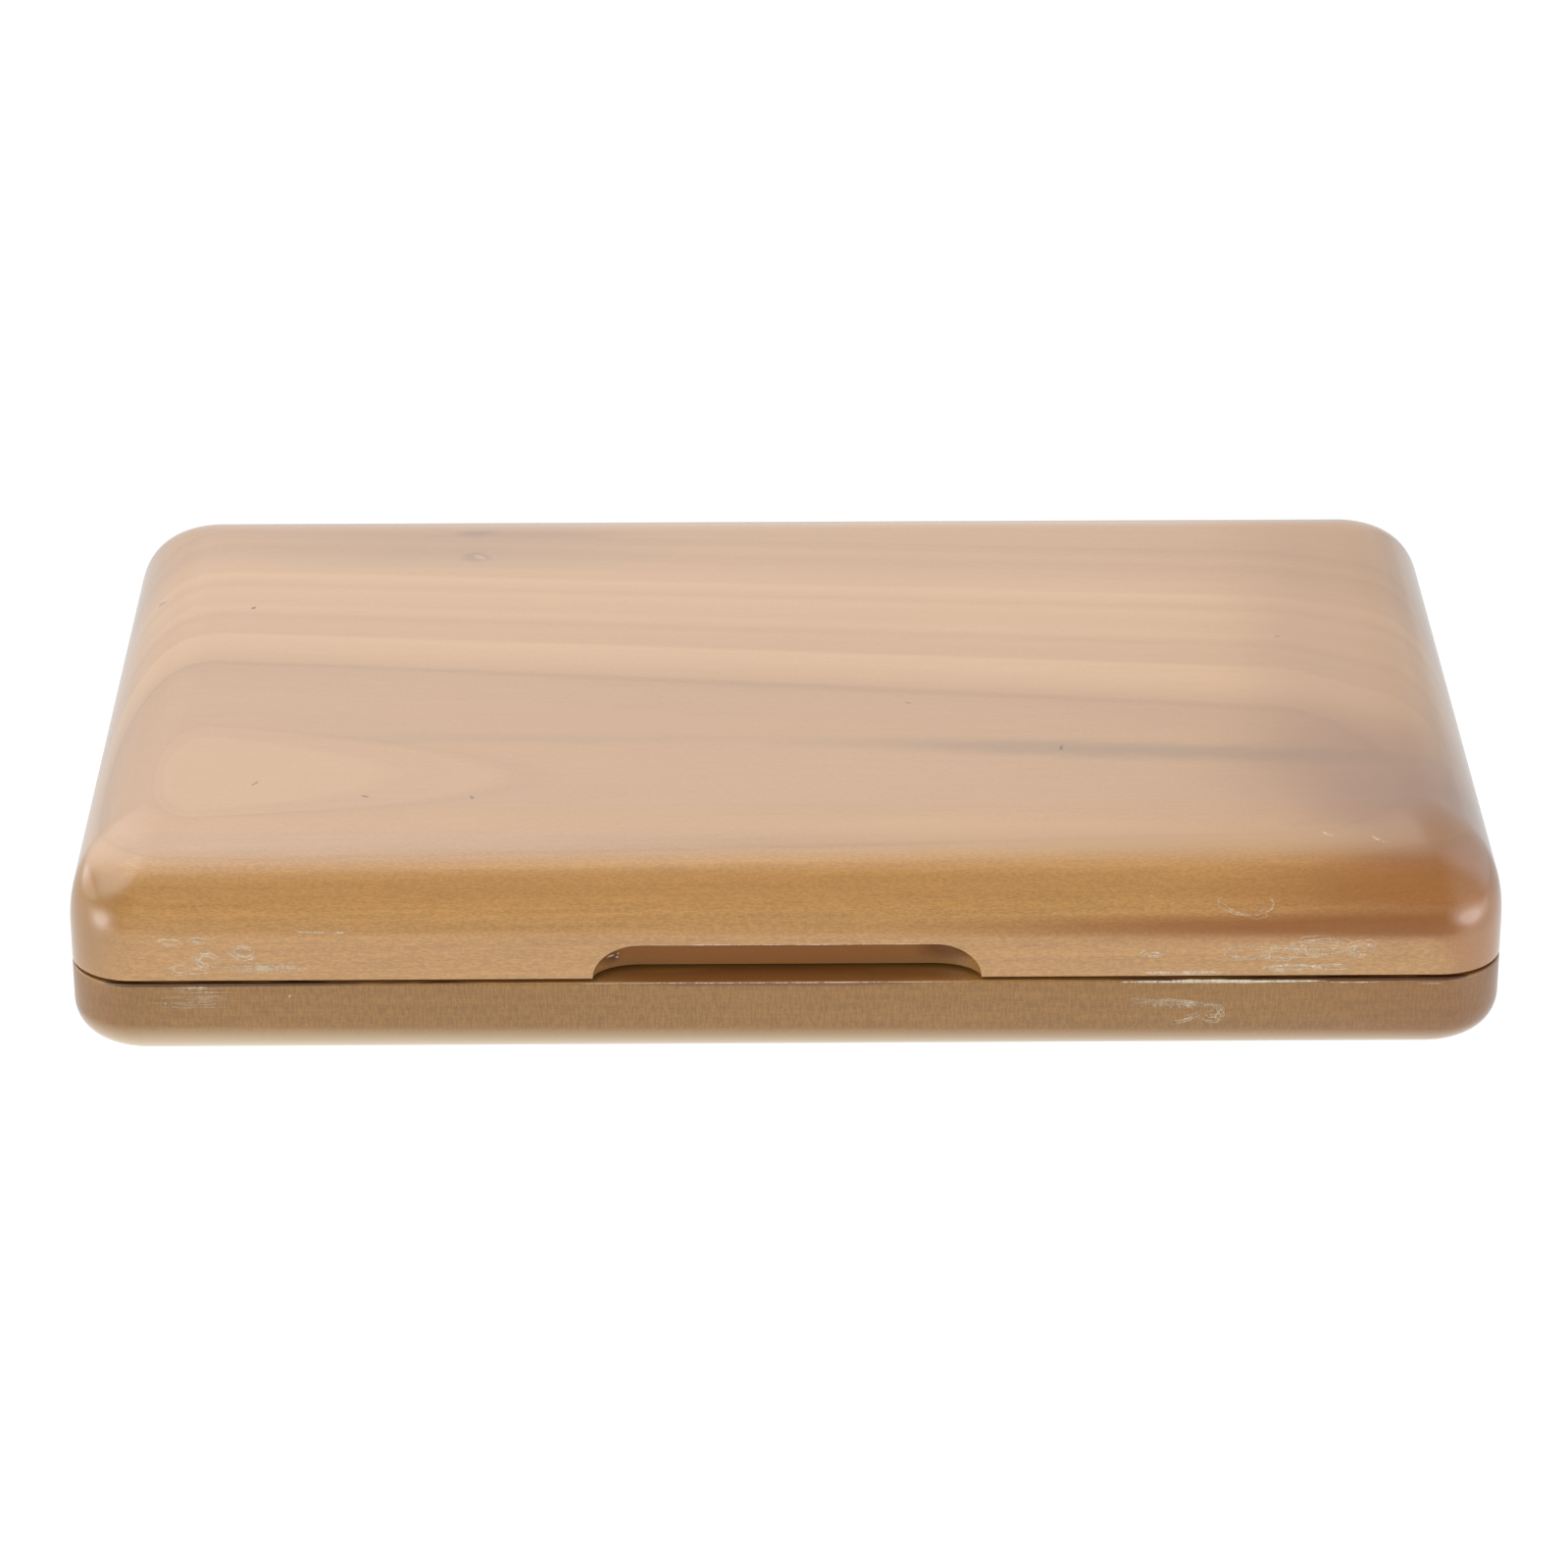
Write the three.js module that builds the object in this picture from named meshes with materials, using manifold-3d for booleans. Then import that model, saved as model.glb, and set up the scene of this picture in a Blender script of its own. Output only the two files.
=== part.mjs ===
// Bassoon reed case: a hinged two-part maple box that closes on magnets and holds the reeds on pegs.
// Millimetres, +Z up, front towards -Y, origin at the middle of the underside.
import * as THREE from "three";
import { mergeVertices } from "three/addons/utils/BufferGeometryUtils.js";
import Module from "manifold-3d";

const wasm = await Module();
wasm.setup();

// Whole case
const caseWidth = 140;
const caseDepth = 88;
const cornerRadius = 6.4;
const baseHeight = 8.3;
const lidHeight = 14.4;
const seamGap = 0.35;
const edgeBreak = 0.2;

// Rounded edges. The lid's round-over starts above an upright band, the base's runs under the case.
const lidBandHeight = 3.3;
const lidRoundAcross = 10;
const lidRoundPower = 2.4;
const baseRoundAcross = 3.8;
const baseRoundRise = 4.4;
const baseRoundPower = 2;
const cornerTightenShare = 0.48;

// Walls around the routed wells
const sideWall = 8;
const frontWall = 8;
const baseFloor = 2.4;
const lidRoof = 3.2;
const wellCorner = 5;

// Finger notch in the lid's lower front edge
const notchFlatLength = 28.4;
const notchEndLength = 4.7;
const notchHeight = 3.6;
const notchDepth = 3.2;
const notchPower = 3;

// Clearances
const fitGap = 0.25;
const seatGap = 0.15;
const cutOverrun = 2;

// Hinges
const hingeFromEnd = 36;
const leafLength = 22;
const leafWidth = 7;
const leafThickness = 0.9;
const leafMargin = 1.3;
const leafCorner = 0.8;
const knuckleCount = 5;
const knuckleRadius = 1.6;
const knuckleSetback = 0.1;
const pinRadius = 0.6;
const pinHeadRadius = 1.2;
const pinHeadLength = 0.5;
const openAngleDeg = 96;
const stopClearanceDeg = 4;

// Hinge screws
const screwHeadRadius = 1.6;
const screwHeadHeight = 0.75;
const screwShankRadius = 0.75;
const screwLength = 5;
const screwSink = 0.05;
const screwSpacing = 12;
const slotWidth = 0.4;
const slotDepth = 0.35;

// Closing magnets, let into both rims near the front corners
const magnetRadius = 2.5;
const magnetThickness = 2.4;
const magnetChamfer = 0.25;
const magnetFromEnd = 17;

// Peg rail and its two screws
const ledgeHeight = 5.6;
const railDepth = 8;
const railAbovePeg = 4;
const railEdge = 0.9;
const railScrewHeadRadius = 2.2;
const railScrewHeadHeight = 1.1;
const railScrewShankRadius = 1.1;
const railScrewTipHeight = 2.6;
const railSlotWidth = 0.55;
const railSlotDepth = 0.5;

// Reed pegs
const pegCount = 6;
const pegAxisHeight = 10.4;
const pegLength = 20;
const pegRootRadius = 2.4;
const pegTipRadius = 1.8;
const pegTipRound = 1.1;
const pegCollarRadius = 3.6;
const pegCollarThickness = 1;
const pegShankRadius = 1.5;
const pegShankLength = 5.5;

// Velvet pads
const basePadEdge = 1;
const basePadCrown = 1.9;
const lidPadEdge = 1.2;
const lidPadCrown = 2.5;
const padSidePower = 14;
const padEndPower = 9;

// Facets
const cornerSteps = 8;
const roundSteps = 7;
const turnedSides = 24;
const smallSides = 16;
const notchSides = 24;
const notchEndSteps = 5;
const padColumns = 16;
const padRows = 12;

// Places worked out from the sizes above
const caseHeight = baseHeight + seamGap + lidHeight;
const lidBottom = baseHeight + seamGap;
const hingeInset = knuckleRadius + knuckleSetback;
const rearWall = hingeInset + leafWidth + leafMargin;
const wellWidth = caseWidth - 2 * sideWall;
const wellDepth = caseDepth - frontWall - rearWall;
const wellFront = frontWall - caseDepth / 2;
const wellRear = wellFront + wellDepth;
const wellCentreY = (wellFront + wellRear) / 2;
const railRear = wellRear - fitGap;
const railFront = railRear - railDepth;
const railBottom = ledgeHeight + seatGap;
const railTop = pegAxisHeight + railAbovePeg;
const railHeight = railTop - railBottom;
const railLength = wellWidth - 2 * fitGap;
const railCentreY = (railFront + railRear) / 2;
const trayDepth = railFront - wellFront;
const trayCentreY = wellFront + trayDepth / 2;
const bayWidth = wellWidth / pegCount;
const railScrewX = 2 * bayWidth;
const hingeAxisY = caseDepth / 2 - hingeInset;
const hingeAxisZ = baseHeight + seamGap / 2;
const hingeCentreX = caseWidth / 2 - hingeFromEnd;
const knuckleLength = leafLength / knuckleCount;
const screwFromAxis = (leafWidth + knuckleRadius) / 2;
const magnetX = caseWidth / 2 - magnetFromEnd;
const magnetY = frontWall / 2 - caseDepth / 2;
const magnetHoleRadius = magnetRadius + fitGap;
const magnetHoleDepth = magnetThickness + seatGap;

// Materials
const maple = new THREE.MeshStandardMaterial({ color: 0xc99a66, roughness: 0.42, metalness: 0 });
const railMaple = new THREE.MeshStandardMaterial({ color: 0xd2a873, roughness: 0.5, metalness: 0 });
const brass = new THREE.MeshStandardMaterial({ color: 0xc9a04e, roughness: 0.3, metalness: 1 });
const nickel = new THREE.MeshStandardMaterial({ color: 0xb9b8b4, roughness: 0.22, metalness: 1 });
const velvet = new THREE.MeshStandardMaterial({ color: 0x4a0f1a, roughness: 0.95, metalness: 0 });

// A closed geometry as a solid that can be joined and cut.
function solidOf(geometry) {
  const bare = geometry.clone();
  bare.deleteAttribute("normal");
  bare.deleteAttribute("uv");
  const merged = mergeVertices(bare);
  const mesh = new wasm.Mesh({
    numProp: 3,
    vertProperties: new Float32Array(merged.attributes.position.array),
    triVerts: new Uint32Array(merged.index.array),
  });
  return new wasm.Manifold(mesh);
}

// A solid back as a geometry with flat facets.
function geometryOf(solid) {
  const mesh = solid.getMesh();
  const geometry = new THREE.BufferGeometry();
  geometry.setAttribute("position", new THREE.BufferAttribute(new Float32Array(mesh.vertProperties), 3));
  geometry.setIndex(new THREE.BufferAttribute(new Uint32Array(mesh.triVerts), 1));
  const flat = geometry.toNonIndexed();
  flat.computeVertexNormals();
  return flat;
}

// A named piece in its group, at its place.
function addPiece(group, name, geometry, material, x = 0, y = 0, z = 0) {
  const mesh = new THREE.Mesh(geometry, material);
  mesh.name = name;
  mesh.position.set(x, y, z);
  group.add(mesh);
  return mesh;
}

// Skins a stack of rings, each an equal number of points counter-clockwise seen from the last ring,
// and closes both ends with a fan about the ring's middle.
function loft(rings) {
  const count = rings[0].length;
  const positions = [];
  const index = [];
  for (const ring of rings) for (const point of ring) positions.push(point.x, point.y, point.z);
  for (let i = 0; i + 1 < rings.length; i++) {
    for (let j = 0; j < count; j++) {
      const next = (j + 1) % count;
      const low = i * count;
      const high = low + count;
      index.push(low + j, low + next, high + next, low + j, high + next, high + j);
    }
  }
  const closeEnd = (ring, first, flip) => {
    const middle = new THREE.Vector3();
    for (const point of ring) middle.addScaledVector(point, 1 / count);
    const centre = positions.length / 3;
    positions.push(middle.x, middle.y, middle.z);
    for (let j = 0; j < count; j++) {
      const a = first + j;
      const b = first + ((j + 1) % count);
      index.push(centre, flip ? b : a, flip ? a : b);
    }
  };
  closeEnd(rings[0], 0, true);
  closeEnd(rings[rings.length - 1], (rings.length - 1) * count, false);
  const geometry = new THREE.BufferGeometry();
  geometry.setAttribute("position", new THREE.Float32BufferAttribute(positions, 3));
  geometry.setIndex(index);
  return geometry;
}

// A rounded rectangle as a ring of points at one height, counter-clockwise seen from above.
function roundedRing(width, depth, radius, z) {
  const ring = [];
  const alongX = width / 2 - radius;
  const alongY = depth / 2 - radius;
  const corners = [[1, 1], [-1, 1], [-1, -1], [1, -1]];
  corners.forEach(([signX, signY], quarter) => {
    for (let step = 0; step <= cornerSteps; step++) {
      const angle = (quarter + step / cornerSteps) * (Math.PI / 2);
      const x = signX * alongX + radius * Math.cos(angle);
      const y = signY * alongY + radius * Math.sin(angle);
      ring.push(new THREE.Vector3(x, y, z));
    }
  });
  return ring;
}

// A ring of the case's own outline, drawn in by an inset. The corners tighten less than a true offset.
function caseRing(inset, z) {
  const tightest = (cornerRadius * cornerTightenShare) / 2;
  const radius = Math.max(cornerRadius - inset * cornerTightenShare, tightest);
  return roundedRing(caseWidth - 2 * inset, caseDepth - 2 * inset, radius, z);
}

// A rounded rectangle as a flat shape. Front and rear corners have their own radii.
function roundedShape(width, depth, frontRadius, rearRadius) {
  const x = width / 2;
  const y = depth / 2;
  const shape = new THREE.Shape();
  shape.moveTo(frontRadius - x, -y);
  shape.lineTo(x - frontRadius, -y);
  if (frontRadius > 0) shape.absarc(x - frontRadius, frontRadius - y, frontRadius, -Math.PI / 2, 0);
  shape.lineTo(x, y - rearRadius);
  if (rearRadius > 0) shape.absarc(x - rearRadius, y - rearRadius, rearRadius, 0, Math.PI / 2);
  shape.lineTo(rearRadius - x, y);
  if (rearRadius > 0) shape.absarc(rearRadius - x, y - rearRadius, rearRadius, Math.PI / 2, Math.PI);
  shape.lineTo(-x, frontRadius - y);
  if (frontRadius > 0) shape.absarc(frontRadius - x, frontRadius - y, frontRadius, Math.PI, Math.PI * 1.5);
  shape.closePath();
  return shape;
}

// An upright prism of a flat shape, its foot at the given height.
function prism(shape, height, z = 0) {
  const options = { depth: height, bevelEnabled: false, curveSegments: cornerSteps };
  return new THREE.ExtrudeGeometry(shape, options).translate(0, 0, z);
}

// A block between two corners.
function block(x0, y0, z0, x1, y1, z1) {
  const geometry = new THREE.BoxGeometry(x1 - x0, y1 - y0, z1 - z0);
  return geometry.translate((x0 + x1) / 2, (y0 + y1) / 2, (z0 + z1) / 2);
}

// A rod along X, centred on the origin.
function rodAlongX(radius, length, sides = smallSides) {
  return new THREE.CylinderGeometry(radius, radius, length, sides).rotateZ(Math.PI / 2);
}

// A rod along Z from a foot height.
function rodUp(radius, z, length, sides = smallSides) {
  const rod = new THREE.CylinderGeometry(radius, radius, length, sides).rotateX(Math.PI / 2);
  return rod.translate(0, 0, z + length / 2);
}

// A turned piece about Z from [radius, height] pairs, listed from the bottom of its axis to the top.
function turned(profile, sides = smallSides) {
  const points = profile.map(([radius, height]) => new THREE.Vector2(radius, height));
  return new THREE.LatheGeometry(points, sides).rotateX(Math.PI / 2);
}

// The cutter that eases both wells' rear edges into a V behind the hinge pins. Its faces meet when the
// lid is wide open, which stops it there.
function rearWedge(side) {
  const slope = Math.tan(THREE.MathUtils.degToRad((openAngleDeg + stopClearanceDeg) / 2));
  const reach = hingeInset + cutOverrun;
  const shape = new THREE.Shape();
  shape.moveTo(0, 0);
  shape.lineTo(reach, 0);
  shape.lineTo(reach, side * slope * reach);
  shape.closePath();
  const length = caseWidth + 2 * cutOverrun;
  const options = { depth: length, bevelEnabled: false };
  const geometry = new THREE.ExtrudeGeometry(shape, options).translate(0, 0, -length / 2);
  // The shape's x runs back along Y and its y up along Z.
  const axes = new THREE.Matrix4().makeBasis(
    new THREE.Vector3(0, 1, 0),
    new THREE.Vector3(0, 0, 1),
    new THREE.Vector3(1, 0, 0),
  );
  return geometry.applyMatrix4(axes).translate(0, hingeAxisY, hingeAxisZ);
}

// What both shells lose for a hinge: the leaf's mortise, the knuckle's groove and the screws' pilot holes.
// Side is -1 for the base and 1 for the lid.
function hingeCuts(centreX, side) {
  const halfLeaf = leafLength / 2 + fitGap;
  const rim = hingeAxisZ + (side * seamGap) / 2;
  const bed = rim + side * (leafThickness + seatGap);
  const open = rim - side * cutOverrun;
  const mortise = block(
    centreX - halfLeaf, hingeAxisY - leafWidth - fitGap, Math.min(bed, open),
    centreX + halfLeaf, hingeAxisY, Math.max(bed, open),
  );
  const grooveLength = leafLength + 2 * (pinHeadLength + 2 * fitGap);
  const groove = rodAlongX(knuckleRadius + fitGap, grooveLength, turnedSides);
  groove.translate(centreX, hingeAxisY, hingeAxisZ);
  const cuts = [mortise, groove];
  const pilotDepth = screwLength + seatGap;
  for (const direction of [-1, 1]) {
    const pilot = rodUp(screwShankRadius + fitGap, -cutOverrun, pilotDepth + cutOverrun);
    if (side < 0) pilot.rotateX(Math.PI);
    const x = centreX + (direction * screwSpacing) / 2;
    cuts.push(pilot.translate(x, hingeAxisY - screwFromAxis, rim));
  }
  return cuts;
}

// A magnet's blind hole in a rim. Side is -1 for the base and 1 for the lid.
function magnetCut(x, side) {
  const hole = rodUp(magnetHoleRadius, -cutOverrun, magnetHoleDepth + cutOverrun, turnedSides);
  if (side < 0) hole.rotateX(Math.PI);
  return hole.translate(x, magnetY, hingeAxisZ + (side * seamGap) / 2);
}

// The finger notch's cutter: a bar of near-square section along the lid's lower front edge, its ends
// rounded off in every direction as a round-nosed cutter leaves them.
function notchCutter() {
  const rings = [];
  const addRing = (x, scale) => {
    const ring = [];
    for (let step = 0; step < notchSides; step++) {
      const angle = (step / notchSides) * Math.PI * 2;
      const across = Math.abs(Math.cos(angle)) ** (2 / notchPower) * Math.sign(Math.cos(angle));
      const up = Math.abs(Math.sin(angle)) ** (2 / notchPower) * Math.sign(Math.sin(angle));
      ring.push(new THREE.Vector3(x, notchDepth * scale * across, notchHeight * scale * up));
    }
    rings.push(ring);
  };
  for (let step = 1; step <= notchEndSteps; step++) {
    const angle = (step / notchEndSteps) * (Math.PI / 2);
    addRing(-notchFlatLength / 2 - notchEndLength * Math.cos(angle), Math.sin(angle));
  }
  for (let step = notchEndSteps; step >= 1; step--) {
    const angle = (step / notchEndSteps) * (Math.PI / 2);
    addRing(notchFlatLength / 2 + notchEndLength * Math.cos(angle), Math.sin(angle));
  }
  return loft(rings).translate(0, -caseDepth / 2, lidBottom);
}

// Subtracts a list of geometries from a solid.
function cutAll(solid, cutters) {
  return cutters.reduce((left, cutter) => left.subtract(solidOf(cutter)), solid);
}

// Base: one maple block, rounded under, with a tray for the pad, a raised ledge for the rail,
// mortises for the hinges and blind holes for the magnets.
function baseShell() {
  const rings = [];
  for (let step = 0; step <= roundSteps; step++) {
    const angle = (step / roundSteps) * (Math.PI / 2);
    const inset = baseRoundAcross * (1 - Math.sin(angle) ** (2 / baseRoundPower));
    const z = baseRoundRise * (1 - Math.cos(angle) ** (2 / baseRoundPower));
    rings.push(caseRing(inset, z));
  }
  rings.push(caseRing(0, baseHeight - edgeBreak));
  rings.push(caseRing(edgeBreak, baseHeight));
  const tray = prism(roundedShape(wellWidth, trayDepth, wellCorner, wellCorner), baseHeight, baseFloor);
  tray.translate(0, trayCentreY, 0);
  const well = prism(roundedShape(wellWidth, wellDepth, wellCorner, wellCorner), baseHeight, ledgeHeight);
  well.translate(0, wellCentreY, 0);
  const cutters = [tray, well, rearWedge(-1)];
  for (const direction of [-1, 1]) {
    cutters.push(...hingeCuts(direction * hingeCentreX, -1), magnetCut(direction * magnetX, -1));
    const pilotTop = ledgeHeight + cutOverrun;
    const pilotFoot = railScrewTipHeight - seatGap;
    const pilot = rodUp(railScrewShankRadius + fitGap, pilotFoot, pilotTop - pilotFoot);
    cutters.push(pilot.translate(direction * railScrewX, railCentreY, 0));
  }
  return geometryOf(cutAll(solidOf(loft(rings)), cutters));
}

// Lid: one deeper maple block, rounded over on top, hollowed from below, with the finger notch.
function lidShell() {
  const rings = [caseRing(edgeBreak, lidBottom), caseRing(0, lidBottom + edgeBreak)];
  const roundFoot = lidBottom + lidBandHeight;
  for (let step = 0; step <= roundSteps; step++) {
    const angle = (step / roundSteps) * (Math.PI / 2);
    const inset = lidRoundAcross * (1 - Math.cos(angle) ** (2 / lidRoundPower));
    const z = roundFoot + (caseHeight - roundFoot) * Math.sin(angle) ** (2 / lidRoundPower);
    rings.push(caseRing(inset, z));
  }
  const wellHeight = caseHeight - lidRoof - lidBottom + cutOverrun;
  const wellShape = roundedShape(wellWidth, wellDepth, wellCorner, wellCorner);
  const well = prism(wellShape, wellHeight, lidBottom - cutOverrun).translate(0, wellCentreY, 0);
  const cutters = [well, rearWedge(1), notchCutter()];
  for (const direction of [-1, 1]) {
    cutters.push(...hingeCuts(direction * hingeCentreX, 1), magnetCut(direction * magnetX, 1));
  }
  return geometryOf(cutAll(solidOf(loft(rings)), cutters));
}

// A countersunk slotted wood screw, its head's top at the origin and its point down.
function woodScrew(headRadius, headHeight, shankRadius, length, slot, slotDeep) {
  const pointLength = 2 * shankRadius;
  const body = turned([
    [0, -length],
    [shankRadius, pointLength - length],
    [shankRadius, -headHeight],
    [headRadius, -headHeight / 5],
    [headRadius, 0],
    [0, 0],
  ]);
  const cutter = block(-headRadius * 2, -slot / 2, -slotDeep, headRadius * 2, slot / 2, headHeight);
  return geometryOf(solidOf(body).subtract(solidOf(cutter)));
}

// The countersunk hole that such a screw passes through, its mouth at the origin.
function screwHole(headRadius, headHeight, shankRadius, length) {
  const mouth = headRadius + fitGap;
  return turned([
    [0, -length],
    [shankRadius + fitGap, -length],
    [shankRadius + fitGap, -headHeight - fitGap],
    [mouth, -headHeight / 5 - fitGap],
    [mouth, cutOverrun],
    [0, cutOverrun],
  ]);
}

// One leaf of a butt hinge, lying just under the pin's height and reaching forward, with the knuckles
// whose numbers it owns. The pin's centre is the origin.
function hingeLeaf(ownsKnuckle) {
  const top = -seamGap / 2;
  const plate = prism(roundedShape(leafLength, leafWidth, leafCorner, 0), leafThickness, top - leafThickness);
  let solid = solidOf(plate.translate(0, -leafWidth / 2, 0));
  const clear = knuckleRadius + fitGap;
  for (let number = 0; number < knuckleCount; number++) {
    const centre = (number - (knuckleCount - 1) / 2) * knuckleLength;
    if (ownsKnuckle(number)) {
      const tube = rodAlongX(knuckleRadius, knuckleLength - fitGap, turnedSides).translate(centre, 0, 0);
      solid = solid.add(solidOf(tube));
    }
  }
  for (let number = 0; number < knuckleCount; number++) {
    const centre = (number - (knuckleCount - 1) / 2) * knuckleLength;
    const half = (knuckleLength + fitGap) / 2;
    const gap = block(centre - half, -clear, -clear, centre + half, clear, clear);
    if (!ownsKnuckle(number)) solid = solid.subtract(solidOf(gap));
  }
  for (const direction of [-1, 1]) {
    const hole = screwHole(screwHeadRadius, screwHeadHeight, screwShankRadius, screwLength);
    hole.translate((direction * screwSpacing) / 2, -screwFromAxis, top);
    solid = solid.subtract(solidOf(hole));
  }
  const bore = rodAlongX(pinRadius + fitGap, leafLength + 2 * cutOverrun);
  return geometryOf(solid.subtract(solidOf(bore)));
}

// The hinge pin, with a small button head at each end.
function hingePin() {
  const headStart = leafLength / 2 + fitGap;
  const headEnd = headStart + pinHeadLength;
  const pin = turned([
    [0, -headEnd],
    [pinHeadRadius, -headEnd],
    [pinHeadRadius, -headStart],
    [pinRadius, -headStart],
    [pinRadius, headStart],
    [pinHeadRadius, headStart],
    [pinHeadRadius, headEnd],
    [0, headEnd],
  ]);
  return pin.rotateY(Math.PI / 2);
}

// A disc magnet standing on its lower face.
function discMagnet() {
  return turned([
    [0, 0],
    [magnetRadius - magnetChamfer, 0],
    [magnetRadius, magnetChamfer],
    [magnetRadius, magnetThickness - magnetChamfer],
    [magnetRadius - magnetChamfer, magnetThickness],
    [0, magnetThickness],
  ], turnedSides);
}

// The peg rail: a maple bar with eased edges and rounded rear corners, bored for pegs and screws.
// Its foot's middle is the origin.
function pegRail() {
  const rearCorner = wellCorner - fitGap - railEdge;
  const shape = roundedShape(railLength - 2 * railEdge, railDepth - 2 * railEdge, 0, rearCorner);
  const options = {
    depth: railHeight - 2 * railEdge,
    bevelEnabled: true,
    bevelThickness: railEdge,
    bevelSize: railEdge,
    bevelSegments: 2,
    curveSegments: cornerSteps,
  };
  const cutters = [];
  for (const x of pegPlaces()) {
    const depth = pegShankLength + seatGap;
    const bore = rodUp(pegShankRadius + fitGap, -depth, depth + cutOverrun).rotateX(Math.PI / 2);
    cutters.push(bore.translate(x, -railDepth / 2, pegAxisHeight - railBottom));
  }
  for (const direction of [-1, 1]) {
    const length = railHeight + cutOverrun;
    const hole = screwHole(railScrewHeadRadius, railScrewHeadHeight, railScrewShankRadius, length);
    cutters.push(hole.translate(direction * railScrewX, 0, railHeight));
  }
  const bar = new THREE.ExtrudeGeometry(shape, options).translate(0, 0, railEdge);
  return geometryOf(cutAll(solidOf(bar), cutters));
}

// The pegs stand at the middles of equal bays across the well.
function pegPlaces() {
  return Array.from({ length: pegCount }, (_, number) => (number - (pegCount - 1) / 2) * bayWidth);
}

// A reed peg: a shank in the rail, a collar against it and a tapered mandrel with a round tip.
// The collar's rear face is at the origin and the peg runs towards -Y.
function reedPeg() {
  const foot = pegCollarThickness;
  const end = foot + pegLength;
  const shoulder = pegTipRadius - pegTipRound;
  const peg = turned([
    [0, -pegShankLength],
    [pegShankRadius, -pegShankLength],
    [pegShankRadius, 0],
    [pegCollarRadius, 0],
    [pegCollarRadius, foot],
    [pegRootRadius, foot],
    [pegTipRadius, end - pegTipRound],
    [shoulder + pegTipRound * Math.cos(Math.PI / 6), end - pegTipRound / 2],
    [shoulder + pegTipRound * Math.cos(Math.PI / 3), end - pegTipRound * (1 - Math.sin(Math.PI / 3))],
    [shoulder, end],
    [0, end],
  ], turnedSides);
  return peg.rotateX(Math.PI / 2);
}

// A velvet pad over foam: a flat foot, upright sides and a gently crowned top. Its foot's middle is the
// origin. Rows and columns crowd towards the edges, where the crown falls away.
function velvetPad(width, depth, edge, crown, corner) {
  const positions = [];
  const index = [];
  for (const top of [0, 1]) {
    for (let row = 0; row <= padRows; row++) {
      for (let column = 0; column <= padColumns; column++) {
        const across = -Math.cos((column / padColumns) * Math.PI);
        const along = -Math.cos((row / padRows) * Math.PI);
        const swell = (1 - Math.abs(across) ** padSidePower) * (1 - Math.abs(along) ** padEndPower);
        const height = top * (edge + (crown - edge) * swell);
        positions.push((across * width) / 2, (along * depth) / 2, height);
      }
    }
  }
  const stride = padColumns + 1;
  const topFirst = stride * (padRows + 1);
  const quad = (a, b, c, d) => index.push(a, b, c, a, c, d);
  for (let row = 0; row < padRows; row++) {
    for (let column = 0; column < padColumns; column++) {
      const a = row * stride + column;
      quad(a, a + stride, a + stride + 1, a + 1);
      quad(topFirst + a, topFirst + a + 1, topFirst + a + stride + 1, topFirst + a + stride);
    }
  }
  for (let column = 0; column < padColumns; column++) {
    const rear = padRows * stride + column;
    quad(column, column + 1, topFirst + column + 1, topFirst + column);
    quad(rear + 1, rear, topFirst + rear, topFirst + rear + 1);
  }
  for (let row = 0; row < padRows; row++) {
    const left = row * stride;
    const right = left + padColumns;
    quad(left + stride, left, topFirst + left, topFirst + left + stride);
    quad(right, right + stride, topFirst + right + stride, topFirst + right);
  }
  const geometry = new THREE.BufferGeometry();
  geometry.setAttribute("position", new THREE.Float32BufferAttribute(positions, 3));
  geometry.setIndex(index);
  const outline = prism(roundedShape(width, depth, corner, corner), crown + 2 * cutOverrun, -cutOverrun);
  return geometryOf(solidOf(geometry).intersect(solidOf(outline)));
}

// Assembly
const reedCase = new THREE.Group();
const base = new THREE.Group();
const lid = new THREE.Group();
reedCase.add(base, lid);

addPiece(base, "base_shell", baseShell(), maple);
addPiece(lid, "lid_shell", lidShell(), maple);

const padWidth = wellWidth - 2 * fitGap;
const padCorner = wellCorner - fitGap;
const basePad = velvetPad(padWidth, trayDepth - 2 * fitGap, basePadEdge, basePadCrown, padCorner);
addPiece(base, "base_pad", basePad, velvet, 0, trayCentreY, baseFloor + seatGap);
const lidPad = velvetPad(padWidth, wellDepth - 2 * fitGap, lidPadEdge, lidPadCrown, padCorner);
const lidPadPiece = addPiece(lid, "lid_pad", lidPad, velvet, 0, wellCentreY, caseHeight - lidRoof - seatGap);
lidPadPiece.rotation.y = Math.PI;

addPiece(base, "peg_rail", pegRail(), railMaple, 0, railCentreY, railBottom);
pegPlaces().forEach((x, number) => {
  addPiece(base, `reed_peg_${number + 1}`, reedPeg(), brass, x, railFront - seatGap, pegAxisHeight);
});

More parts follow.
